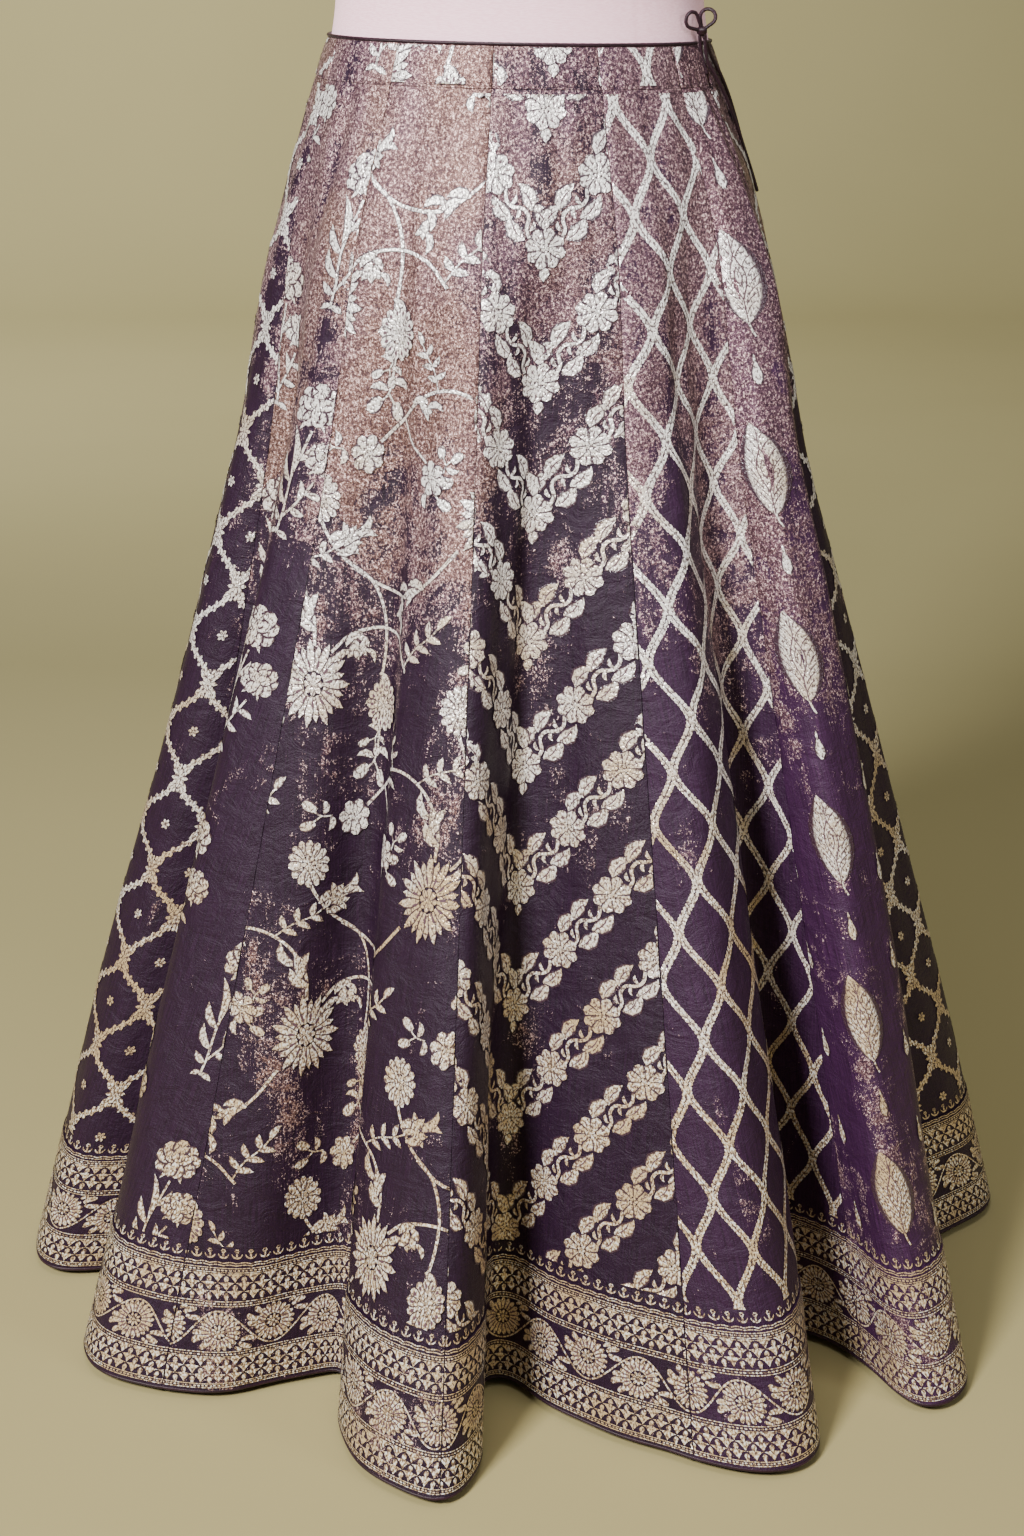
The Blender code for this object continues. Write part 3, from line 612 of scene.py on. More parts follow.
def blades(angles, near, far, wide, shape=PETAL):
    """Petals about a middle: each runs out from near to far at its angle, its half width following shape."""
    angles = np.radians(np.atleast_1d(angles))[:, None, None]
    run = near + (far - near) * np.linspace(0.0, 1.0, len(shape))[None, :, None]
    half = wide * np.array(shape)[None, :, None] * SIDES
    x, y = run * np.cos(angles) - half * np.sin(angles), run * np.sin(angles) + half * np.cos(angles)
    return np.stack([x, y], axis=-1)


def ring_of(count, near, far, wide, shape=LOBE, turn=0.0):
    """Petals spread evenly all the way round."""
    return blades(turn + np.arange(count) * 360.0 / count, near, far, wide, shape)


def normals_of(line):
    """Direction square to a flat line at each of its points."""
    ahead = np.gradient(line, axis=0)
    return np.stack([-ahead[:, 1], ahead[:, 0]], axis=1) / np.linalg.norm(ahead, axis=1, keepdims=True)


def leaf(start, end, wide, bow=0.0, shape=POINT):
    """Leaf from its stalk to its tip, the middle line bowed sideways by a share of its length."""
    start, end = np.array(start), np.array(end)
    s = np.linspace(0.0, 1.0, len(shape))[:, None]
    side = np.array([-(end - start)[1], (end - start)[0]])
    spine = start + (end - start) * s + side * bow * 4.0 * s * (1.0 - s)
    half = (wide * np.array(shape))[:, None, None] * SIDES[None, :, None]
    return (spine[:, None, :] + half * normals_of(spine)[:, None, :])[None]


def leaves(*rows, shape=POINT):
    """Several leaves, each row giving start x, y, end x, y, half width and bow."""
    return np.concatenate([leaf((x0, y0), (x1, y1), wide, bow, shape) for x0, y0, x1, y1, wide, bow in rows])


def spline(points, s):
    """Curve through every point, one span a row, read at the shares s of a span; and its slope."""
    points = np.array(points, float)
    ends = np.vstack([2 * points[0] - points[1], points, 2 * points[-1] - points[-2]])
    p0, p1, p2, p3 = (ends[j:len(points) - 1 + j][:, None, :] for j in range(4))
    s = s[None, :, None]
    square, cube = 2 * p0 - 5 * p1 + 4 * p2 - p3, 3 * p1 - p0 - 3 * p2 + p3
    curve = 0.5 * (2 * p1 + (p2 - p0) * s + square * s ** 2 + cube * s ** 3)
    return curve, 0.5 * ((p2 - p0) + 2 * square * s + 3 * cube * s ** 2)


def stem(points, wide):
    """Stalk along a spline through its points, cut into patches of five rows."""
    spine, slope = spline(points, np.linspace(0.0, 1.0, 5))
    normal = np.stack([-slope[..., 1], slope[..., 0]], -1) / np.linalg.norm(slope, axis=-1, keepdims=True)
    return spine[:, :, None, :] + wide * SIDES[None, None, :, None] * normal[:, :, None, :]


def moved(shapes, x, y, turn=0.0, size=1.0, tall=1.0, flip=1.0):
    """Shapes turned, sized and set down at a place; flip -1 mirrors them."""
    c, s = math.cos(math.radians(turn)), math.sin(math.radians(turn))
    px, py = shapes[..., 0] * size * flip, shapes[..., 1] * size * tall
    out = np.stack([x + px * c - py * s, y + px * s + py * c], axis=-1)
    return out[:, :, ::-1] if flip < 0 else out


def repeated(layers, places, tall=1.0):
    """Every layer of a motif at every place: across, up, turn, size and flip."""
    return [(tone, np.concatenate([moved(shapes, x, y, turn, size, tall, flip)
                                   for x, y, turn, size, flip in places])) for tone, shapes in layers]


def on_kali(k, extra=0.0):
    """A kali as a surface to lay a design on: its half width at b, and the point at (a, b), with the
    thickness of what already lies on it."""
    def wide(b):
        return kali_width(k, b / KALI_LENGTH)
    return (lambda b: 0.5 * wide(b),
            lambda a, b, lift: on_skirt(k + 0.5 + a / wide(b), b / KALI_LENGTH, lift + extra))


# How far zari floats above the cloth, neighbouring shapes above each other, and dark thread above gilt
FLOAT, FLOAT_NEXT, DARK_OVER, LAYER_OVER = 0.00034, 0.000016, 0.00008, 0.00007
SEAM_MARGIN = 0.0005


def woven(layers, surface, top, foot, step=LAYER_OVER):
    """Lays a design's layers on a surface: shapes past a seam are cut back to it, those wholly past are
    left off, and each layer floats a step above the one before."""
    half_at, lay = surface
    grids, flats, slots = [], [], []
    for order, (tone, shapes) in enumerate(layers):
        a, b = shapes[..., 0], -shapes[..., 1]
        inside = np.any((b > top) & (b < foot), axis=(1, 2))
        b = np.clip(b, top, foot)
        half = half_at(b) - SEAM_MARGIN
        keep = np.any(np.abs(a) < half, axis=(1, 2)) & inside
        a, b, half = a[keep], b[keep], half[keep]
        if not len(a):
            continue
        a = np.clip(a, -half, half)
        over = FLOAT_NEXT * (np.arange(len(a)) % 4)[:, None, None]
        grids.append(lay(a, b, FLOAT + over + step * order + (DARK_OVER * tone if step == 0.0 else 0.0)))
        flats.append(np.stack([a, b], axis=-1))
        slots.append(tone)
    return grids, flats, slots


def zari_finish(name, low, high, grain_size):
    """Gilt thread, its colour painted by height: gold low on the skirt as painted shade and silver higher up as
    a painted highlight where the lamps above would rake it, in short close floats with painted glints one by
    one; the ground shows as a fine dark line round every petal, leaf and bead."""
    made = Shader(name)
    cloudy = made.noise(made.place("Object", (2.0, 0.0, 9.0), (1.0, 1.0, 0.7)), 15.0, 4.0, 0.6)
    # Painted shade and highlight: the thread's colour runs from gold low on the skirt to near-white silver high
    # up, broken by the cloudy noise.
    tone = made.mix(made.ramp(made.swayed(made.along("Z"), cloudy, 1.3), 0.14, 0.88), low, high)
    floats = made.noise(made.place("UV", scale=(grain_size, 0.60 * grain_size, 1.0)), 1.0, 1.0, 0.6)
    tone = made.mix(made.ramp(floats, 0.38, 0.50), made.mix(0.90, tone, (0.060, 0.026, 0.040)), tone)
    # Painted glints: single floats painted near-white where the cloudy noise allows.
    painted_glint = made.math("MULTIPLY", made.ramp(floats, 0.53, 0.60), made.ramp(cloudy, 0.36, 0.54))
    tone = made.mix(painted_glint, tone, (1.0, 0.99, 0.97))
    rim = made.add("ShaderNodeAttribute", attribute_name="edge")
    line = made.ramp(rim.outputs["Fac"], 0.62, 0.82)
    made.set(Base_Color=made.mix(line, tone, (0.035, 0.014, 0.026)),
             Metallic=made.ramp(line, 0.0, 1.0, 0.35, 0.0),
             Roughness=made.ramp(floats, 0.3, 0.7, 0.42, 0.22), Specular_IOR_Level=0.8,
             Normal=made.bump(floats, 0.9, 0.0012))
    return made.material


# Gold is the painted shade low on the skirt; near-white silver is the painted highlight high up.
zari = zari_finish("zari_thread", (0.640, 0.470, 0.265), (1.000, 0.960, 0.930), 640.0)
ground_thread = Shader("ground_thread")
ground_grain = ground_thread.noise(ground_thread.place("UV", scale=(1200.0, 500.0, 1.0)), 1.0, 2.0)
ground_thread.set(Base_Color=ground_thread.mix(ground_grain, (0.040, 0.014, 0.030), (0.120, 0.060, 0.075)),
                  Roughness=0.6)


def layer(tone, *shapes):
    """One layer of a design: tone 0 is gilt, 1 the dark ground thread."""
    return tone, np.concatenate(shapes)


# Heads of the flowers, each drawn about its own middle
BIG_DAISY = [
    layer(0, ring_of(11, 0.0076, 0.0222, 0.0030, LANCE, 16.0)),
    layer(0, ring_of(11, 0.0072, 0.0255, 0.0034, LANCE)),
    layer(0, ring_of(8, 0.0012, 0.0068, 0.0023), ring_of(4, 0.0, 0.0014, 0.0008)),
    layer(1, ring_of(11, 0.0080, 0.0136, 0.0007, DROP, 8.0)),
]
ROUND_DAISY = [
    layer(0, ring_of(14, 0.0050, 0.0146, 0.0034)),
    layer(0, ring_of(8, 0.0014, 0.0050, 0.0016), ring_of(3, 0.0, 0.0014, 0.0008)),
]
DOTTED_HEAD = [
    layer(0, ring_of(14, 0.0066, 0.0155, 0.0036)),
    layer(0, ring_of(10, 0.0024, 0.0064, 0.0018), ring_of(5, 0.0, 0.0022, 0.0010)),
    layer(1, ring_of(14, 0.0096, 0.0128, 0.0010, DROP)),
]
SMALL_FLOWER = [
    layer(0, ring_of(7, 0.0022, 0.0112, 0.0044, LOBE, 20.0), ring_of(5, 0.0002, 0.0022, 0.0011)),
]
BUD_SPRAY = [
    layer(0, stem(((0.0, 0.0), (0.004, 0.006), (0.010, 0.009)), 0.0007),
          stem(((0.004, 0.006), (0.003, 0.013)), 0.0007),
          leaves((0.009, 0.007, 0.018, 0.012, 0.0042, 0.0), (0.002, 0.012, 0.003, 0.022, 0.0040, 0.0),
                 shape=LOBE),
          leaves((0.0, 0.001, -0.008, 0.007, 0.0030, 0.2), (0.004, 0.004, 0.013, 0.000, 0.0028, -0.2))),
]
CURLED_LEAF = [
    layer(0, leaves((0.0, 0.0, 0.013, 0.007, 0.0038, 0.18), (0.006, 0.003, 0.020, 0.003, 0.0042, -0.12),
                    (0.014, 0.003, 0.029, 0.008, 0.0034, 0.24), (0.011, 0.000, 0.019, -0.005, 0.0026, 0.1))),
]
SPRIG = [
    layer(0, stem(((0.0, 0.0), (0.003, 0.014), (0.010, 0.027), (0.013, 0.036)), 0.0007),
          leaves(*((x, y, x + dx, y + dy, 0.0029, 0.1) for x, y, dx, dy in
                   ((0.001, 0.006, 0.010, 0.004), (0.002, 0.009, -0.009, 0.005),
                    (0.004, 0.016, 0.011, 0.003), (0.005, 0.018, -0.007, 0.008),
                    (0.009, 0.025, 0.010, 0.003), (0.010, 0.027, -0.005, 0.009),
                    (0.013, 0.035, 0.003, 0.011))))),
]


def vine_design():
    """Half-drop vine: one unit of stalks and heads, its column repeated 0.143 m across and 0.272 m down."""
    unit = [layer(
        0,
        stem(((0.000, -0.013), (0.006, -0.026), (0.020, -0.044), (0.040, -0.060), (0.051, -0.084),
              (0.053, -0.110), (0.049, -0.140)), 0.0015),
        stem(((0.026, -0.050), (0.050, -0.064), (0.080, -0.066), (0.104, -0.050), (0.122, -0.026)), 0.0015),
        stem(((0.012, -0.112), (0.026, -0.099), (0.050, -0.094), (0.075, -0.101), (0.092, -0.118)), 0.0015),
        stem(((0.143, 0.028), (0.141, 0.052), (0.127, 0.074), (0.104, 0.084), (0.080, 0.078), (0.060, 0.060),
              (0.042, 0.042)), 0.0015),
        stem(((0.060, -0.150), (0.052, -0.166), (0.049, -0.190)), 0.0011),
        stem(((0.060, 0.060), (0.070, 0.044), (0.088, 0.032)), 0.0011))]
    heads = repeated(ROUND_DAISY, [(0.0, 0.0, 10.0, 1.0, 1.0)], 1.25)
    heads += repeated(BIG_DAISY, [(0.0, -0.136, 0.0, 1.0, 1.0)], 1.30)
    heads += repeated(DOTTED_HEAD, [(0.054, -0.152, 0.0, 0.95, 1.0)], 1.32)
    heads += repeated(SMALL_FLOWER, [(0.033, 0.033, 0.0, 1.05, 1.0), (0.096, 0.022, 30.0, 0.95, 1.0)], 1.2)
    small = repeated(BUD_SPRAY, [(0.049, -0.186, 200.0, 1.30, 1.0), (0.090, 0.012, 240.0, 1.1, -1.0),
                                 (0.016, 0.036, 120.0, 1.1, 1.0), (0.104, 0.026, 20.0, 0.9, 1.0),
                                 (0.050, -0.172, 120.0, 0.9, -1.0)])
    small += repeated(CURLED_LEAF, [(0.049, -0.128, -100.0, 1.35, 1.0), (0.008, -0.032, -6.0, 1.15, 1.0),
                                    (0.014, -0.040, -112.0, 1.20, -1.0), (0.144, 0.040, 105.0, 1.35, 1.0),
                                    (0.070, -0.066, -100.0, 1.0, 1.0), (0.034, -0.098, 70.0, 1.05, -1.0),
                                    (0.100, -0.056, 30.0, 1.15, -1.0), (0.070, 0.072, -20.0, 0.95, 1.0),
                                    (0.030, -0.101, -70.0, 0.8, 1.0)])
    small += repeated(SPRIG, [(0.090, -0.114, -20.0, 1.15, 1.0), (0.120, 0.080, -40.0, 1.05, 1.0),
                              (0.092, 0.084, 8.0, 0.9, -1.0)])
    places = [(-0.208 + 0.143 * i, -0.152 - 0.272 * j - (0.136 if i % 2 else 0.0), 0.0, 1.0, 1.0)
              for i in range(4) for j in range(-2, 4)]
    return repeated(unit + small, places) + repeated(heads, places)


# Side-faced rose, its petals lapped in three rounds over a calyx
ROSE = [
    layer(0, blades((-118.0, -62.0), 0.0060, 0.0205, 0.0026, HEART)),
    layer(0, blades((-28.0, 208.0, 8.0, 172.0), 0.0020, 0.0190, 0.0075, LOBE)),
    layer(0, blades((44.0, 136.0, 90.0), 0.0020, 0.0182, 0.0080, LOBE)),
    layer(0, blades((-70.0, 250.0), 0.0010, 0.0150, 0.0070, LOBE)),
    layer(0, blades((20.0, 160.0, 90.0), 0.0000, 0.0118, 0.0058, LOBE)),
    layer(0, blades((270.0, 55.0, 125.0), 0.0000, 0.0076, 0.0040, LOBE)),
]


def rose_design():
    """Sprigs of two roses, set in a half drop 0.165 m down and 0.072 m across."""
    stalks = [layer(
        0,
        stem(((-0.004, -0.053), (-0.003, -0.034), (-0.004, -0.010), (0.000, 0.012), (0.003, 0.028)), 0.0012),
        stem(((-0.003, -0.040), (0.006, -0.026), (0.014, -0.010)), 0.0012),
        leaves((-0.003, -0.030, -0.015, -0.010, 0.0040, 0.15), (-0.004, -0.006, -0.012, 0.030, 0.0036, -0.10),
               (-0.004, -0.012, -0.017, 0.008, 0.0040, 0.12), (-0.002, 0.004, 0.008, 0.020, 0.0030, -0.10),
               (-0.004, -0.042, -0.014, -0.034, 0.0036, 0.10), (0.002, -0.032, 0.014, -0.036, 0.0034, -0.10),
               (0.006, -0.026, 0.004, -0.010, 0.0030, -0.1), (0.010, -0.020, 0.023, -0.024, 0.0032, 0.1),
               (-0.004, -0.052, 0.006, -0.056, 0.0030, 0.1), (-0.004, -0.050, -0.012, -0.054, 0.0028, -0.1)))]
    heads = repeated(ROSE, [(0.003, 0.046, 0.0, 1.0, 1.0), (0.019, 0.007, -14.0, 0.80, -1.0)])
    places = [(0.035 + 0.078 * i, -0.104 - 0.165 * j - (0.0825 if i % 2 else 0.0), 0.0, 0.95, 1.0)
              for i in range(-3, 3) for j in range(-1, 6)]
    return repeated(stalks + heads, places)


CHEVRON_DROP, ARM_STEP, ARM_TURN = 0.0937, 0.0620, 54.6
CHEVRON_MIDDLE, CHEVRON_UP = -0.002, 0.0125


def chevron_design():
    """Flower-and-leaf stripes that climb both ways at 54.6 degrees from a row of flowers down the middle."""
    bloom = [layer(0, ring_of(8, 0.0034, 0.0142, 0.0052, PETAL, 22.5),
                   ring_of(5, 0.0003, 0.0036, 0.0016, LOBE, 18.0)),
             layer(1, ring_of(8, 0.0062, 0.0110, 0.00038, DROP, 22.5))]
    big = ((0.0105, 0.0078, 0.0300, 0.0095, 0.0066), (0.0270, 0.0070, 0.0470, 0.0100, 0.0064),
           (0.0140, -0.0084, 0.0335, -0.0092, 0.0066), (0.0310, -0.0072, 0.0510, -0.0096, 0.0064))
    bows = [math.copysign(0.14, row[1]) for row in big]
    link = [layer(0, leaves(*(row + (bow,) for row, bow in zip(big, bows)), shape=HEART)),
            layer(0, stem(((0.0125, -0.0050), (0.0185, -0.0034), (0.0240, 0.0026), (0.0310, 0.0030),
                           (0.0365, -0.0022), (0.0430, -0.0034), (0.0500, 0.0010)), 0.0016),
                  leaves((0.0165, -0.0020, 0.0200, 0.0040, 0.0018, 0.2),
                         (0.0330, 0.0000, 0.0290, -0.0050, 0.0018, -0.2),
                         (0.0390, -0.0020, 0.0420, 0.0042, 0.0018, 0.2))),
            layer(1, leaves(*((x0, y0, 0.25 * x0 + 0.75 * x1, 0.25 * y0 + 0.75 * y1, 0.00048, bow)
                              for (x0, y0, x1, y1, wide), bow in zip(big, bows)), shape=DROP))]
    run, rise = ARM_STEP * math.cos(math.radians(ARM_TURN)), ARM_STEP * math.sin(math.radians(ARM_TURN))
    places = [(CHEVRON_MIDDLE + flip * run * i, rise * i - CHEVRON_UP - CHEVRON_DROP * j,
               ARM_TURN * flip, 1.0, flip) for j in range(14) for i in range(6) for flip in (1.0, -1.0)]
    heads = [place for place in places if place[0] != CHEVRON_MIDDLE or place[4] > 0.0]
    apex = [(CHEVRON_MIDDLE, -CHEVRON_UP - CHEVRON_DROP * j, 0.0, 1.0, 1.0) for j in range(14)]
    beard = [layer(0, leaves((0.0, -0.0125, 0.0, -0.0225, 0.0048, 0.0),
                             (0.0, 0.0125, 0.0, 0.0215, 0.0036, 0.0), shape=HEART))]
    return repeated(link, places) + repeated(beard, apex) + repeated(bloom, heads)


def strip(line, half):
    """Strip as wide as half to each side of a line, as patches of four quads."""
    normal = normals_of(line)
    pairs = np.stack([line - half * normal, line + half * normal], axis=1)
    return np.stack([pairs[i:i + 5] for i in range(0, len(pairs) - 4, 4)])


def beaded_line(across, down, wide, pitch):
    """Row of seed shapes along a line across and down: its width pinches to a third at every pitch."""
    line = np.stack([across, -down], axis=-1)
    half = wide * (0.35 + 0.65 * np.abs(np.sin(math.pi * run_along(line) / pitch)) ** 0.6)
    return strip(line, half[:, None])


def trellis_design():
    """Ogee net: neighbouring wavy lines in opposite phase meet in points, each line a double row of seeds."""
    down = np.arange(-0.02, 1.0, 0.00082)
    down = down[:4 * (len(down) // 4) + 1]
    cell, drop = 0.041, 0.0775
    wave = np.sin(2.0 * math.pi * down / drop + 0.9)
    wave = 0.55 * wave + 0.45 * (2.0 / math.pi) * np.arcsin(0.98 * wave)
    lines = []
    for i in range(-9, 10):
        middle = 0.004 + 0.5 * cell * i + 0.25 * cell * wave * (-1.0) ** i
        lines += [beaded_line(middle + side * 0.00165, down, 0.00138, 0.0031) for side in (-1.0, 1.0)]
    return [layer(0, *lines)]


BUTI_COLUMN, BUTI_DROP, BUTI_SLANT = 0.092, 0.137, 0.083


def buti_design():
    """Serrated leaf butis in straight columns, with columns of little drops between them."""
    run = np.linspace(0.0, 1.0, 29)
    belly = np.sin(math.pi * run ** 0.92) ** 0.80
    teeth = 1.0 + 0.07 * np.abs(np.sin(9.0 * math.pi * run))
    half = 0.0185 * belly * teeth + 0.0002
    spine = np.stack([-0.0035 * np.clip(run - 0.8, 0.0, 1.0) * 5.0, -0.033 + 0.066 * run], axis=-1)
    side = np.linspace(-1.0, 1.0, 7)
    body = np.stack([spine[:, :1] - half[:, None] * side, np.broadcast_to(spine[:, 1:], (29, 7))], axis=-1)
    stalk = stem(((0.0, -0.032), (0.001, -0.037), (0.003, -0.042)), 0.0010)
    # Each pair of veins: where it leaves the rib, and how far out it starts and reaches
    vein_rows = ((-0.026, 0.0006, 0.0095), (-0.020, 0.0012, 0.0132), (-0.0135, 0.0042, 0.0158),
                 (-0.007, 0.0062, 0.0172), (0.000, 0.0062, 0.0168), (0.007, 0.0040, 0.0145),
                 (0.0135, 0.0010, 0.0105), (0.019, 0.0006, 0.0062))
    veins = leaves(*((flip * start, y, flip * reach, y + 0.0095, 0.00036, 0.10 * flip)
                     for y, start, reach in vein_rows for flip in (1.0, -1.0)))
    rib = (stem(((0.0, -0.032), (0.0, -0.024), (0.0, -0.016)), 0.00042),
           stem(((0.0, 0.015), (0.0, 0.022), (0.0, 0.029)), 0.0004))
    gem = [stem(((0.0, foot), (flip * out, 0.0), (0.0, head)), wide)
           for foot, out, head, wide in ((-0.0160, 0.0056, 0.0150, 0.00042),
                                         (-0.0070, 0.0024, 0.0070, 0.00036))
           for flip in (1.0, -1.0)]
    drop = [layer(0, leaf((0.0, 0.0090), (0.0, -0.0080), 0.0042, 0.0, DROP),
                  leaf((0.0, 0.006), (0.0, 0.0135), 0.0012))]
    places, drops = [], []
    for i in range(-2, 3):
        across = -0.012 + BUTI_COLUMN * i
        places += [(across - BUTI_SLANT * (0.130 + BUTI_DROP * j), -0.130 - BUTI_DROP * j, 0.0, 1.0, 1.0)
                   for j in range(-1, 7)]
        drops += [(across + 0.004 - BUTI_SLANT * (0.198 + BUTI_DROP * j), -0.198 - BUTI_DROP * j,
                   0.0, 1.0, 1.0) for j in range(-1, 6)]
        drops += [(across + 0.046 - BUTI_SLANT * (0.090 + 0.0690 * j), -0.092 - 0.0690 * j, 0.0, 1.0, 1.0)
                  for j in range(-1, 13)]
    buti = [layer(0, body[None]), layer(0, stalk), layer(1, veins, *rib, *gem)]
    return repeated(buti, places) + repeated(drop, drops)


def jaal_design():
    """Net of wide scalloped ogees: a ribbon edged with little lobes, a flower on each knot and in each cell."""
    down = np.arange(-0.02, 1.0, 0.0025)
    down = down[:4 * (len(down) // 4) + 1]
    cell, drop = 0.066, 0.0800
    wave = np.sin(2.0 * math.pi * down / drop)
    lines, lobes, knots, hearts = [], [], [], []
    for i in range(-6, 7):
        middle = 0.012 + 0.5 * cell * i + 0.25 * cell * wave * (-1.0) ** i
        line = np.stack([middle, -down], axis=-1)
        for flip in (-1.0, 1.0):
            lines.append(beaded_line(middle + 0.0011 * flip, down, 0.0013, 0.0075))
        lobes += [(x + flip * 0.0030, y, 0.0, 1.0, 1.0) for x, y in line[::2] for flip in (-1.0, 1.0)]
        for j in range(-1, 13):
            meet = drop * (j + 0.25) if i % 2 == 0 else drop * (j + 0.75)
            knots.append((0.012 + 0.5 * cell * i + 0.25 * cell, -meet, 0.0, 1.0, 1.0))
            hearts.append((0.012 + 0.5 * cell * i + 0.25 * cell, -meet - 0.5 * drop, 0.0, 1.0, 1.0))
    lobe = [layer(0, blades(90.0, -0.0019, 0.0019, 0.0019, BEAD))]
    knot = [layer(0, ring_of(8, 0.0022, 0.0080, 0.0021, POINT),
                  ring_of(4, 0.0060, 0.0120, 0.0020, POINT, 45.0), ring_of(5, 0.0, 0.0017, 0.0008))]
    heart = [layer(0, ring_of(6, 0.0012, 0.0044, 0.0016, SEED), ring_of(4, 0.0, 0.0009, 0.0005, SEED))]
    return [layer(0, *lines)] + repeated(lobe, lobes) + repeated(knot, knots) + repeated(heart, hearts)


DESIGNS = (chevron_design(), trellis_design(), buti_design(), jaal_design(), rose_design(), vine_design())
DESIGN_TOP, DESIGN_FOOT = 0.003, 0.8655
for k in range(KALIS):
    laid = woven(DESIGNS[k % 6], on_kali(k), DESIGN_TOP, DESIGN_FOOT)
    mesh = grids_to_mesh("zari_kali_%02d" % (k + 1), *laid, edged=True)
    piece = add_piece(mesh.name, mesh, [zari, ground_thread.material])
    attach(piece, "root")
    middle = kali_width(k, np.linspace(0.0, 1.0, 50)).mean()


# Borders
# The dense zari border woven along the foot of every kali: rows of beads, scales of palmettes, a vine
# of daisies between them and a row of crescents on top. Each kali's strip starts at its own repeat.
BORDER_TOP = 0.1080
SCALE_WIDE, SCALE_HIGH = 0.0130, 0.0070
VINE_PITCH, VINE_MIDDLE = 0.0410, 0.0515
CRESCENT_PITCH, CRESCENT_UP, CRESCENT_SHIFT = 0.0102, 0.1130, 0.003
BEAD_PITCH = 0.0030
STRIP = np.arange(-0.22, 0.2201, 0.0022)
STRIP_HALF = 0.21


def ribbon(up, wide):
    """Line of even width along the strip, at the heights up."""
    return strip(np.stack([STRIP, up + 0.0 * STRIP], axis=-1), wide)


def in_row(shapes, pitch, up, shift=0.0):
    """Shapes repeated along the strip at one height."""
    reach = int(STRIP_HALF / pitch)
    places = shift + pitch * np.arange(-reach, reach + 1)
    return np.concatenate([moved(shapes, x, up) for x in places])


def beads_between_lines(up, reach):
    """Row of beads with a thin line above and below it."""
    bead = leaf((-0.00105, 0.0), (0.00105, 0.0), 0.00095, 0.0, BEAD)
    return [in_row(bead, BEAD_PITCH, up), ribbon(up - reach, 0.00036), ribbon(up + reach, 0.00036)]


def palmette_scales(up):
    """Three staggered rows of scales: a bulb in each dome, and a winged point between the two domes below."""
    s = np.linspace(-1.0, 1.0, 9)
    low = -0.93 * SCALE_HIGH * (1.0 - np.abs(s)) ** 1.9
    high = 0.0005 * np.sin(math.pi * np.abs(s)) + 0.0006 * (np.abs(s) < 0.3)
    x = 0.5 * SCALE_WIDE * s * 0.97
    low = np.minimum(low, high - 0.0001)
    wings = np.stack([np.stack([x, low], -1), np.stack([x, high], -1)], axis=1)[None]
    bulb = leaf((0.0, -0.0004), (0.0, 0.0052), 0.0023, 0.0, (0.55, 0.60, 1.0, 0.95, 0.40))
    out = []
    for row in range(4):
        shift = 0.5 * SCALE_WIDE * (row % 2)
        if row < 3:
            out.append(in_row(bulb, SCALE_WIDE, up + row * SCALE_HIGH, shift))
        if row > 0:
            out.append(in_row(wings, SCALE_WIDE, up + row * SCALE_HIGH - 0.0003, shift))
    return out


def daisy_vine():
    """Stem waving from edge to edge of its band round big side-faced daisies, a leaf spray in every bend;
    the petals next to the stalk are shorter. Returns the gilt shapes and the dark ones."""
    angles = 4.0 + np.arange(21) * 360.0 / 21
    near_stalk = np.exp(-((np.mod(angles - 160.0 + 180.0, 360.0) - 180.0) / 42.0) ** 2)
    petals = [blades(a, 0.0064, 0.0162 - 0.0034 * n, 0.0023, LOBE) for a, n in zip(angles, near_stalk)]
    calyx_and_spray = leaves(
        (-0.0105, 0.0050, -0.0195, 0.0095, 0.0032, 0.2), (-0.0110, 0.0010, -0.0195, 0.0020, 0.0028, 0.1),
        (-0.0075, 0.0095, -0.0135, 0.0150, 0.0028, 0.1), (0.0150, 0.0095, 0.0245, 0.0140, 0.0029, 0.12),
        (0.0165, 0.0075, 0.0270, 0.0072, 0.0027, -0.1), (0.0120, 0.0130, 0.0175, 0.0155, 0.0018, 0.1),
        shape=LOBE)
    head = np.concatenate(petals + [calyx_and_spray])
    heart = np.concatenate([ring_of(9, 0.0019, 0.0056, 0.0013, SEED), ring_of(5, 0.0, 0.0015, 0.0009, SEED)])
    gaps = ring_of(21, 0.0070, 0.0122, 0.00062, SEED, 12.5)
    gilt = [ribbon(VINE_MIDDLE - 0.0006 - 0.0156 * np.cos(math.pi * STRIP / VINE_PITCH), 0.00062)]
    dark = []
    for i in range(-5, 6):
        tall = 1.0 if i % 2 == 0 else -1.0
        for kept, shapes in ((gilt, head), (gilt, heart), (dark, gaps)):
            here = moved(shapes, VINE_PITCH * i, VINE_MIDDLE + 0.0022 * tall, 0.0, 1.0, tall)
            kept.append(here if tall > 0 else here[:, :, ::-1])
    return gilt, dark


def crescents():
    """Upturned crescent with a bud in it and a ringed dot above."""
    turn = np.radians(np.linspace(168.0, 372.0, 11))[:, None]
    thick = 0.0019 * np.sin(np.linspace(0.0, math.pi, 11))[:, None] ** 0.7 + 0.0002
    radius = 0.0041 - np.array([[0.0, 0.5, 1.0]]) * thick
    moon = np.stack([radius * np.cos(turn), 0.9 * radius * np.sin(turn)], axis=-1)[None]
    bud = leaf((0.0, -0.0018), (0.0, 0.0012), 0.0010, 0.0, LOBE)
    ring = ring_of(6, 0.0006, 0.0018, 0.00085) + np.array([0.0, 0.0030])
    moons, buds, rings = (in_row(shapes, CRESCENT_PITCH, CRESCENT_UP, CRESCENT_SHIFT)
                          for shapes in (moon, bud, ring))
    return [moons, np.concatenate([buds, rings])]


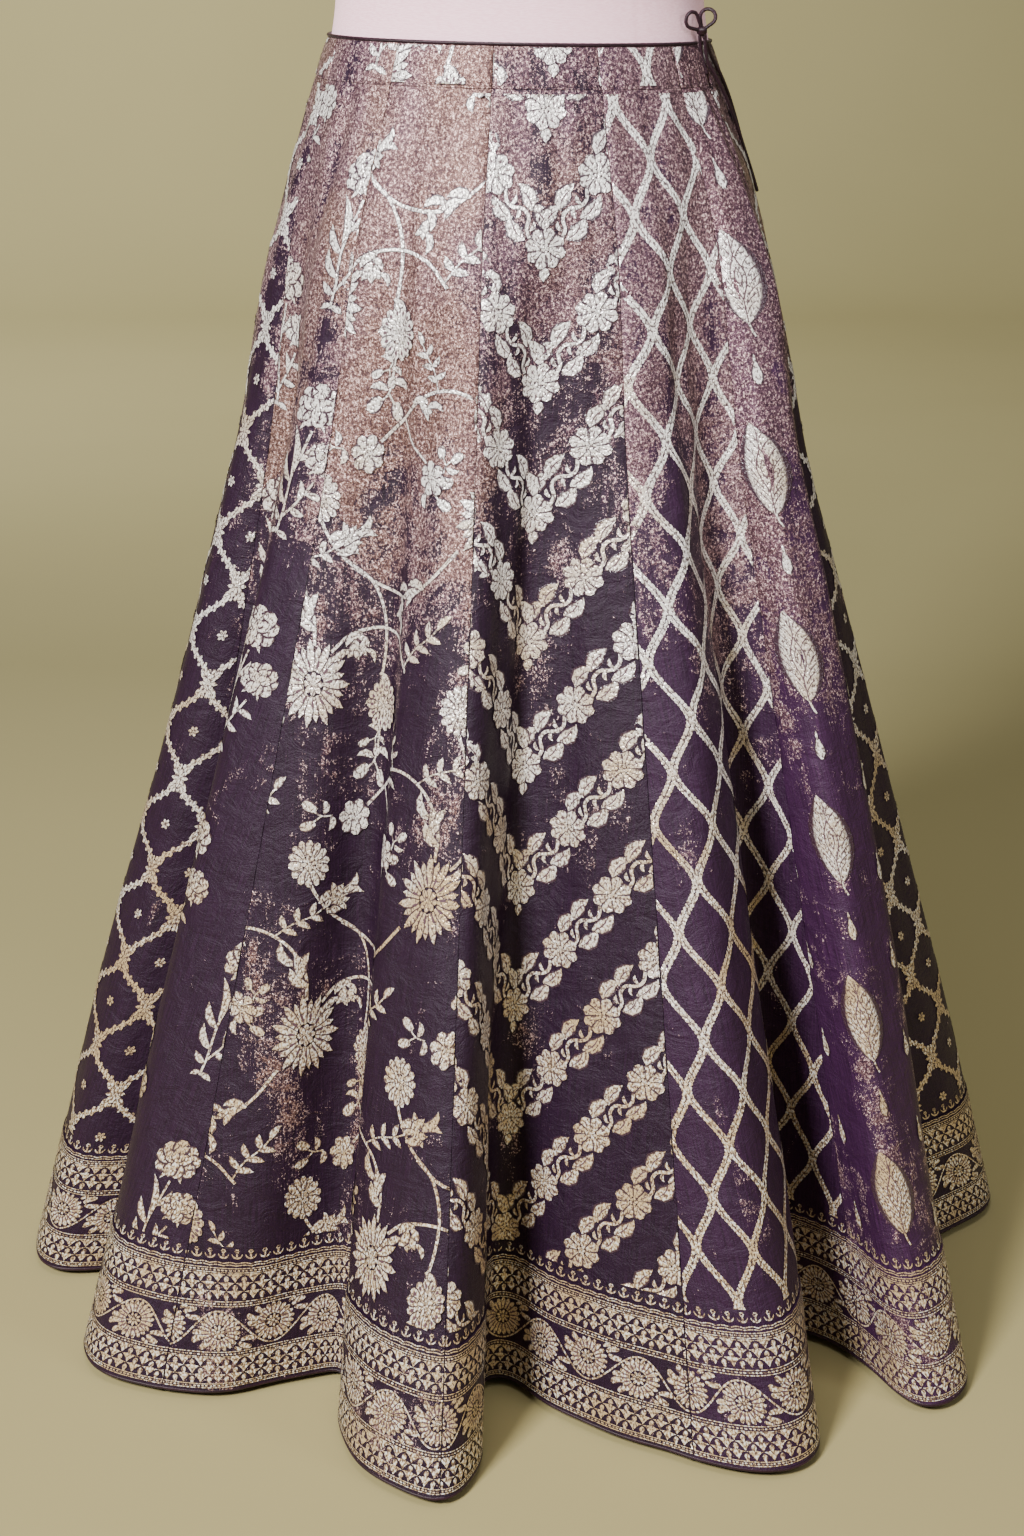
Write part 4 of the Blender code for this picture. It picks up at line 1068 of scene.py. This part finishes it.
def border_design():
    """Everything on the border strip, measured up from the hem: its gilt shapes and its dark ones."""
    wave = 0.0007 * np.abs(np.sin(math.pi * (STRIP - CRESCENT_SHIFT) / CRESCENT_PITCH)) ** 0.8
    rows = beads_between_lines(0.0042, 0.0016) + palmette_scales(0.0066)
    rows += beads_between_lines(0.0304, 0.0020) + beads_between_lines(0.0726, 0.0020)
    rows += palmette_scales(0.0764) + beads_between_lines(0.1005, 0.0018)
    rows += [ribbon(0.1042 + 1.4 * wave, 0.0004), ribbon(0.1060 + 1.8 * wave, 0.0004)]
    gilt, dark = daisy_vine()
    return rows + gilt, dark


BORDER_LIFT, BORDER_WALL = 0.0012, 0.0008
strip_gilt, strip_dark = border_design()
strip_moons = crescents()
for k in range(KALIS):
    grids, flats = kali_shell(k, 1.0 - BORDER_TOP / KALI_LENGTH, 1.0, 16, 76, BORDER_LIFT, BORDER_WALL)
    mesh = grids_to_mesh("border_cloth_%02d" % (k + 1), grids, flats)
    border = add_piece(mesh.name, mesh, [TISSUES[k % 6]])
    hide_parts("border_%02d" % (k + 1))
    start = np.array([chance.uniform(-0.006, 0.006), -KALI_LENGTH])
    shapes = [(0, shape + start) for shape in strip_gilt] + [(1, shape + start) for shape in strip_dark]
    laid = woven(shapes, on_kali(k, BORDER_LIFT), KALI_LENGTH - BORDER_TOP, KALI_LENGTH - 0.0008, step=0.0)
    shapes = [(0, shape + start) for shape in strip_moons]
    moons = woven(shapes, on_kali(k), 0.80, KALI_LENGTH - BORDER_TOP, step=0.0)
    mesh = grids_to_mesh("border_zari_%02d" % (k + 1), *(a + b for a, b in zip(laid, moons)), edged=True)
    gilt = add_piece(mesh.name, mesh, [zari, ground_thread.material])
    for piece in (border, gilt):
        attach(piece, "root")


# Hem binding
# A narrow bias strip of dark wine cloth, folded over the raw edge of the hem and stitched down,
# all round in one length.
BINDING_WIDE, BINDING_HIGH = 0.0015, 0.0016
SATIN = (0.0126, 0.0029, 0.0076)


def satin_finish(name, twist):
    """Dark wine satin: fine diagonal ribs that catch a narrow soft light."""
    made = Shader(name)
    ribs = made.add("ShaderNodeTexWave", wave_type="BANDS", bands_direction="DIAGONAL")
    ribs.inputs["Scale"].default_value = twist
    ribs.inputs["Distortion"].default_value = 1.5
    made.links.new(made.place("UV"), ribs.inputs["Vector"])
    worn = made.noise(made.place(), 60.0, 3.0)
    made.set(Base_Color=made.mix(made.ramp(worn, 0.3, 0.7), SATIN, tuple(1.9 * c for c in SATIN)),
             Roughness=0.42, Specular_IOR_Level=0.35, Sheen_Weight=0.05, Sheen_Roughness=0.35,
             Normal=made.bump(ribs.outputs["Fac"], 0.4, 0.0002))
    return made.material


def tube(centre, side, up, half_side, half_up, sides, swell=None):
    """Oval profile swept along a line, scaled by swell point by point: the grid and its flat places."""
    turn = np.linspace(0.0, 2.0 * math.pi, sides, endpoint=False)
    scale = np.ones((len(centre), 1)) if swell is None else swell
    grid = (centre[:, None] + scale[..., None] * (half_side * np.cos(turn)[None, :, None] * side[:, None]
                                                  + half_up * np.sin(turn)[None, :, None] * up[:, None]))
    flat = np.stack(np.broadcast_arrays(turn[None, :] * half_side, run_along(centre)[:, None]), axis=-1)
    return grid[None], flat[None]


u = np.linspace(0.0, KALIS, 1501)
level = np.tile([0.0, 0.0, 1.0], (len(u), 1))
outward = cloth_normal(u, np.ones_like(u)) * np.array([1.0, 1.0, 0.0])
outward /= np.linalg.norm(outward, axis=1, keepdims=True)
middle = on_skirt(u, np.ones_like(u), 0.0001)
middle[:, 2] = HEM_Z - 0.0011
grid, flat = tube(middle, outward, level, BINDING_WIDE, BINDING_HIGH, 10)
binding = add_piece("hem_binding", grids_to_mesh("hem_binding", [grid], [flat], closed=True),
                    [satin_finish("binding_satin", 900.0)])
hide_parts("hem_piping")
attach(binding, "root")


# Waistband
# A straight casing 29 mm deep, pieced from the twelve brocades over the gathered top and turned in
# along both edges; a row of stitches runs along its foot and down each join. It is open at the side.
BAND_DEPTH = 0.0290
BAND_OPENING = 0.05
BAND_SKIN, BAND_WALL = -0.0002, 0.0011
BAND_PUFF, BAND_RUCK, BAND_JOIN, PATCH_WIDE = 0.0009, 0.00035, 0.0007, 0.066
# Where each band patch is cut from its brocade: across and up
BAND_SHIFTS = ((0.006, 0.014), (0.008, 0.030), (0.004, 0.150),
               (0.012, 0.020), (-0.012, 0.135), (0.020, 0.130))


def on_band(u, drop, lift):
    """Band's ellipse at a drop below its top edge: puffed between its stitched edges and joins, rucked
    along its foot, and sunk at each join."""
    share = np.clip(drop / BAND_DEPTH, 0.0, 1.0)
    inside = np.mod(u, 1.0)
    join = np.minimum(inside, 1.0 - inside) * PATCH_WIDE
    puff = BAND_PUFF * np.sin(math.pi * share) ** 0.6 * (1.0 - np.exp(-join / 0.004))
    ruck = BAND_RUCK * np.sin(2.0 * math.pi * (u * 7.0 + 0.4 * np.sin(9.0 * u))) * share ** 2
    ruck = ruck * (1.0 - np.exp(-join / 0.003))
    out = lift + puff + ruck - BAND_JOIN * np.exp(-(join / 0.0008) ** 2)
    wide = WAIST_TOP_A + share * (WAIST_LOW_A - WAIST_TOP_A) + out
    deep = WAIST_TOP_B + share * (WAIST_LOW_B - WAIST_TOP_B) + out
    return waist_ring(u, wide, deep, WAIST_TOP_Z + share * (WAIST_LOW_Z - WAIST_TOP_Z) + 0.25 * out)


def band_half(k):
    """Half the length of one patch along the band."""
    ring = on_band(k + np.linspace(0.0, 1.0, 40), np.full(40, 0.5 * BAND_DEPTH), 0.0)
    return 0.5 * float(np.linalg.norm(np.diff(ring, axis=0), axis=1).sum())


for k in range(KALIS):
    half = band_half(k)
    low = k + 0.004 + (BAND_OPENING if k == 3 else 0.0)
    high = k + 0.996 - (BAND_OPENING if k == 2 else 0.0)
    u, drop = np.meshgrid(np.linspace(low, high, 56), np.linspace(0.0, BAND_DEPTH, 14))
    flat = np.stack([(u - k - 0.5) * 2.0 * half, drop], axis=-1)
    outer, inner = on_band(u, drop, BAND_SKIN), on_band(u, drop, BAND_SKIN - BAND_WALL)
    grids, flats = shell(outer, inner, flat, 0.0 * flat)
    mesh = grids_to_mesh("band_cloth_%02d" % (k + 1), grids, flats)
    patch = add_piece(mesh.name, mesh, [TISSUES[k % 6]])
    surface = (lambda b, h=half: h + 0.0 * b,
               lambda a, b, lift, h=half, k=k: on_band(k + 0.5 + 0.5 * a / h, b, lift + BAND_SKIN))
    shapes = [(tone, drawn + np.array(BAND_SHIFTS[k % 6])) for tone, drawn in DESIGNS[k % 6]]
    laid = woven(shapes, surface, 0.0006, BAND_DEPTH - 0.0022)
    mesh = grids_to_mesh("band_zari_%02d" % (k + 1), *laid, edged=True)
    gilt = add_piece(mesh.name, mesh, [zari, ground_thread.material])
    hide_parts("waistband_%02d" % (k + 1))
    for piece in (patch, gilt):
        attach(piece, "root")

# Stitches: short raised dashes of wine thread, along the band's foot and beside each join
STITCH_HALF, THREAD_HALF, THREAD_PROUD, JOIN_STITCHES = 0.0008, 0.00022, 0.0003, 9
FOOT_ROW, JOIN_ROW = 0.0017, 0.0011
foot_u = np.linspace(3.07, 14.93, 262)
dash = np.linspace(-STITCH_HALF, STITCH_HALF, 4)[None, :, None] + np.zeros((1, 1, 4))
round_off = np.array([0.3, 1.0, 1.0, 0.3])[None, :, None]
across = THREAD_HALF * np.array([-1.0, -0.4, 0.4, 1.0])[None, None, :]
proud = THREAD_PROUD * np.array([0.0, 1.0, 1.0, 0.0])[None, None, :] * round_off
per_u = 1.0 / 0.0666
along = on_band(foot_u[:, None, None] + dash * per_u, BAND_DEPTH - FOOT_ROW - across * round_off,
                proud - 0.0001)
join_u = np.repeat([float(k) for k in range(KALIS) if k != 3], JOIN_STITCHES)
join_drop = np.tile(np.linspace(0.0025, 0.0245, JOIN_STITCHES), KALIS - 1)
down = on_band(join_u[:, None, None] + JOIN_ROW * per_u + across[:, ::-1] * round_off * per_u,
               join_drop[:, None, None] + dash, proud)
thread = Shader("wine_thread")
thread.set(Base_Color=(0.035, 0.010, 0.022), Roughness=0.55, Sheen_Weight=0.2)
stitch_mesh = grids_to_mesh("band_stitches", [along[:, :, ::-1], down])
stitches = add_piece("band_stitches", stitch_mesh, [thread.material])
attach(stitches, "root")


# Waist piping
# Dark wine satin rolled round a thin cord and caught in the band's top edge. It ends at each side
# of the opening, tapered to a close.
PIPING_RADIUS, PIPING_SUNK = 0.0013, 0.0006
PIPING_START, PIPING_END, PIPING_ROUND = 3.06, 14.94, 0.015
u = np.linspace(PIPING_START, PIPING_END, 800)
turn = waist_angle(u)
outward = np.stack([np.sin(turn), -np.cos(turn), 0.0 * turn], axis=1)
level = np.tile([0.0, 0.0, 1.0], (len(u), 1))
middle = waist_ring(u, WAIST_TOP_A - PIPING_SUNK, WAIST_TOP_B - PIPING_SUNK,
                    WAIST_TOP_Z + PIPING_RADIUS + 0.0001)
close = np.minimum(np.minimum(u - PIPING_START, PIPING_END - u) / PIPING_ROUND, 1.0)
swell = np.sqrt(np.clip(close * (2.0 - close), 0.0, 1.0)) * (1.0 + 0.04 * np.sin(u * 71.0)) + 1e-4
grid, flat = tube(middle, outward, level, PIPING_RADIUS, PIPING_RADIUS, 10, swell[:, None])
piping = add_piece("waist_piping_satin", grids_to_mesh("waist_piping_satin", [grid], [flat], closed=True),
                   [satin_finish("piping_satin", 700.0)])
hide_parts("waist_piping")
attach(piping, "root")


# Dori
# The drawstring: a 2.6 mm cord of dark wine satin thread that comes out of the casing at the side
# opening, is tied in a small bow, and hangs in two tails over the skirt.
DORI_DIAMETER, STRAND_TURN = 0.0026, 0.009
KNOT = np.array([0.1285, -0.0475, 1.0078])
KNOT_SIZE = (0.0036, 0.0034, 0.0030)
# Each loop of the bow: which way it stands off the knot, and how far it reaches
LOOP_FRONT, FRONT_REACH = (-0.0125, -0.0100, 0.0122), 0.0178
LOOP_BACK, BACK_REACH = (0.0066, 0.0034, 0.0150), 0.0158
LOOP_ROUND = 0.0054
TAIL_FRONT = ((3.02, 0.010, 0.0026), (3.13, 0.022, 0.0024), (3.26, 0.036, 0.0024), (3.38, 0.052, 0.0024),
              (3.48, 0.070, 0.0024), (3.56, 0.090, 0.0024), (3.60, 0.106, 0.0024))
TAIL_BACK = ((3.15, 0.008, 0.0026), (3.30, 0.020, 0.0024), (3.44, 0.034, 0.0024), (3.55, 0.050, 0.0024),
             (3.64, 0.066, 0.0024), (3.70, 0.084, 0.0024))
STUB = ((3.00, 0.0200, -0.0004), (3.00, 0.0110, -0.0004), (3.00, 0.0060, 0.0002))


def off_skirt(u, drop, off):
    """Point at a drop below the waist's top edge, held off the band or the cloth."""
    depth = WAIST_TOP_Z - WAIST_LOW_Z
    share = min(1.0, drop / depth)
    t = max(0.0, (drop - depth) / (WAIST_LOW_Z - HEM_Z))
    band = waist_ring(np.array([u]), WAIST_TOP_A + share * (WAIST_LOW_A - WAIST_TOP_A),
                      WAIST_TOP_B + share * (WAIST_LOW_B - WAIST_TOP_B), WAIST_TOP_Z - drop)
    place = cloth(np.array([u]), np.array([t])) if t > 0.0 else band
    return place[0] + off * cloth_normal(np.array([u]), np.array([max(t, 0.01)]))[0]


def smooth_route(guide, spacing):
    """Spline through the guide points, read again at even spacing."""
    curve = spline(guide, np.linspace(0.0, 1.0, 30, endpoint=False))[0]
    line = np.vstack([curve.reshape(-1, 3), guide[-1]])
    run = run_along(line)
    even = np.linspace(0.0, run[-1], max(4, int(round(run[-1] / spacing)) + 1))
    return np.stack([np.interp(even, run, line[:, i]) for i in range(3)], axis=1), float(run[-1])


def laid_cord(name, guide, node):
    """Three-strand cord: round with three shallow ridges that turn along it, closed by rounded ends."""
    centre, length = smooth_route(guide, 0.00055)
    ahead = np.gradient(centre, axis=0)
    ahead /= np.linalg.norm(ahead, axis=1, keepdims=True)
    side = np.cross(ahead, [0.31, -0.42, 0.85])
    side /= np.linalg.norm(side, axis=1, keepdims=True)
    run = np.linspace(0.0, length, len(centre))
    turn = np.linspace(0.0, 2.0 * math.pi, 18, endpoint=False)
    ridge = np.abs(np.cos(1.5 * (turn[None, :] - 2.0 * math.pi * run[:, None] / STRAND_TURN)))
    close = np.minimum(1.0, np.minimum(run, length - run) / (0.5 * DORI_DIAMETER))
    swell = (0.90 + 0.13 * ridge) * np.sqrt(np.clip(close * (2.0 - close), 0.0, 1.0))[:, None] + 1e-3
    radius = 0.5 * DORI_DIAMETER
    grid, flat = tube(centre, side, np.cross(ahead, side), radius, radius, 18, swell)
    piece = add_piece(name, grids_to_mesh(name, [grid], [flat], closed=True), [dori_satin])
    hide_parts(node)
    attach(piece, "root")


def bow_loop(outward, reach):
    """Teardrop loop facing the front: two straight legs from the knot, tangent to a round end."""
    outward = np.array(outward) / np.linalg.norm(outward)
    across = np.cross(outward, (0.0, 0.94, -0.35))
    across /= np.linalg.norm(across)
    middle = reach - LOOP_ROUND
    touch = math.pi - math.acos(LOOP_ROUND / middle)
    turn = np.linspace(-touch, touch, 17)[:, None]
    arc = KNOT + middle * outward + LOOP_ROUND * (np.cos(turn) * outward + np.sin(turn) * across)
    legs = np.linspace(0.12, 0.75, 4)[:, None]
    return np.vstack([KNOT + legs * (arc[0] - KNOT), arc, KNOT + legs[::-1] * (arc[-1] - KNOT)])


dori_satin = satin_finish("dori_satin", 1500.0)
stub_guide = [off_skirt(*g) for g in STUB] + [KNOT + np.array((-0.0012, 0.0012, -0.0046)), KNOT]
tail_back_guide = [KNOT] + [off_skirt(*g) for g in TAIL_BACK]
tail_front_guide = [KNOT + np.array((0.0020, -0.0010, -0.0012))] + [off_skirt(*g) for g in TAIL_FRONT]
laid_cord("dori_casing_end", stub_guide, "dori_stub")
laid_cord("dori_back", tail_back_guide, "dori_tail_back")
laid_cord("dori_front", tail_front_guide, "dori_tail_front")
laid_cord("bow_front", bow_loop(LOOP_FRONT, FRONT_REACH), "dori_loop_front")
laid_cord("bow_back", bow_loop(LOOP_BACK, BACK_REACH), "dori_loop_back")

# The knot: two turns of the same cord pulled tight, as a lump with the strands' grooves round it
polar = np.linspace(0.03, math.pi - 0.03, 22)[:, None]
turn = np.linspace(0.0, 2.0 * math.pi, 40, endpoint=False)[None, :]
wrap = 0.95 + 0.16 * np.abs(np.sin(2.0 * polar + 0.9 * np.sin(turn)))
wrap = wrap + 0.03 * np.abs(np.sin(9.0 * turn + 6.0 * polar))
ball = np.stack([np.sin(polar) * np.cos(turn), np.sin(polar) * np.sin(turn), np.cos(polar) + 0.0 * turn], -1)
lump = np.array(KNOT_SIZE) * wrap[..., None] * ball + KNOT
knot = add_piece("bow_knot", grids_to_mesh("bow_knot", [lump[None]], closed=True), [dori_satin])
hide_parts("dori_knot")
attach(knot, "root")
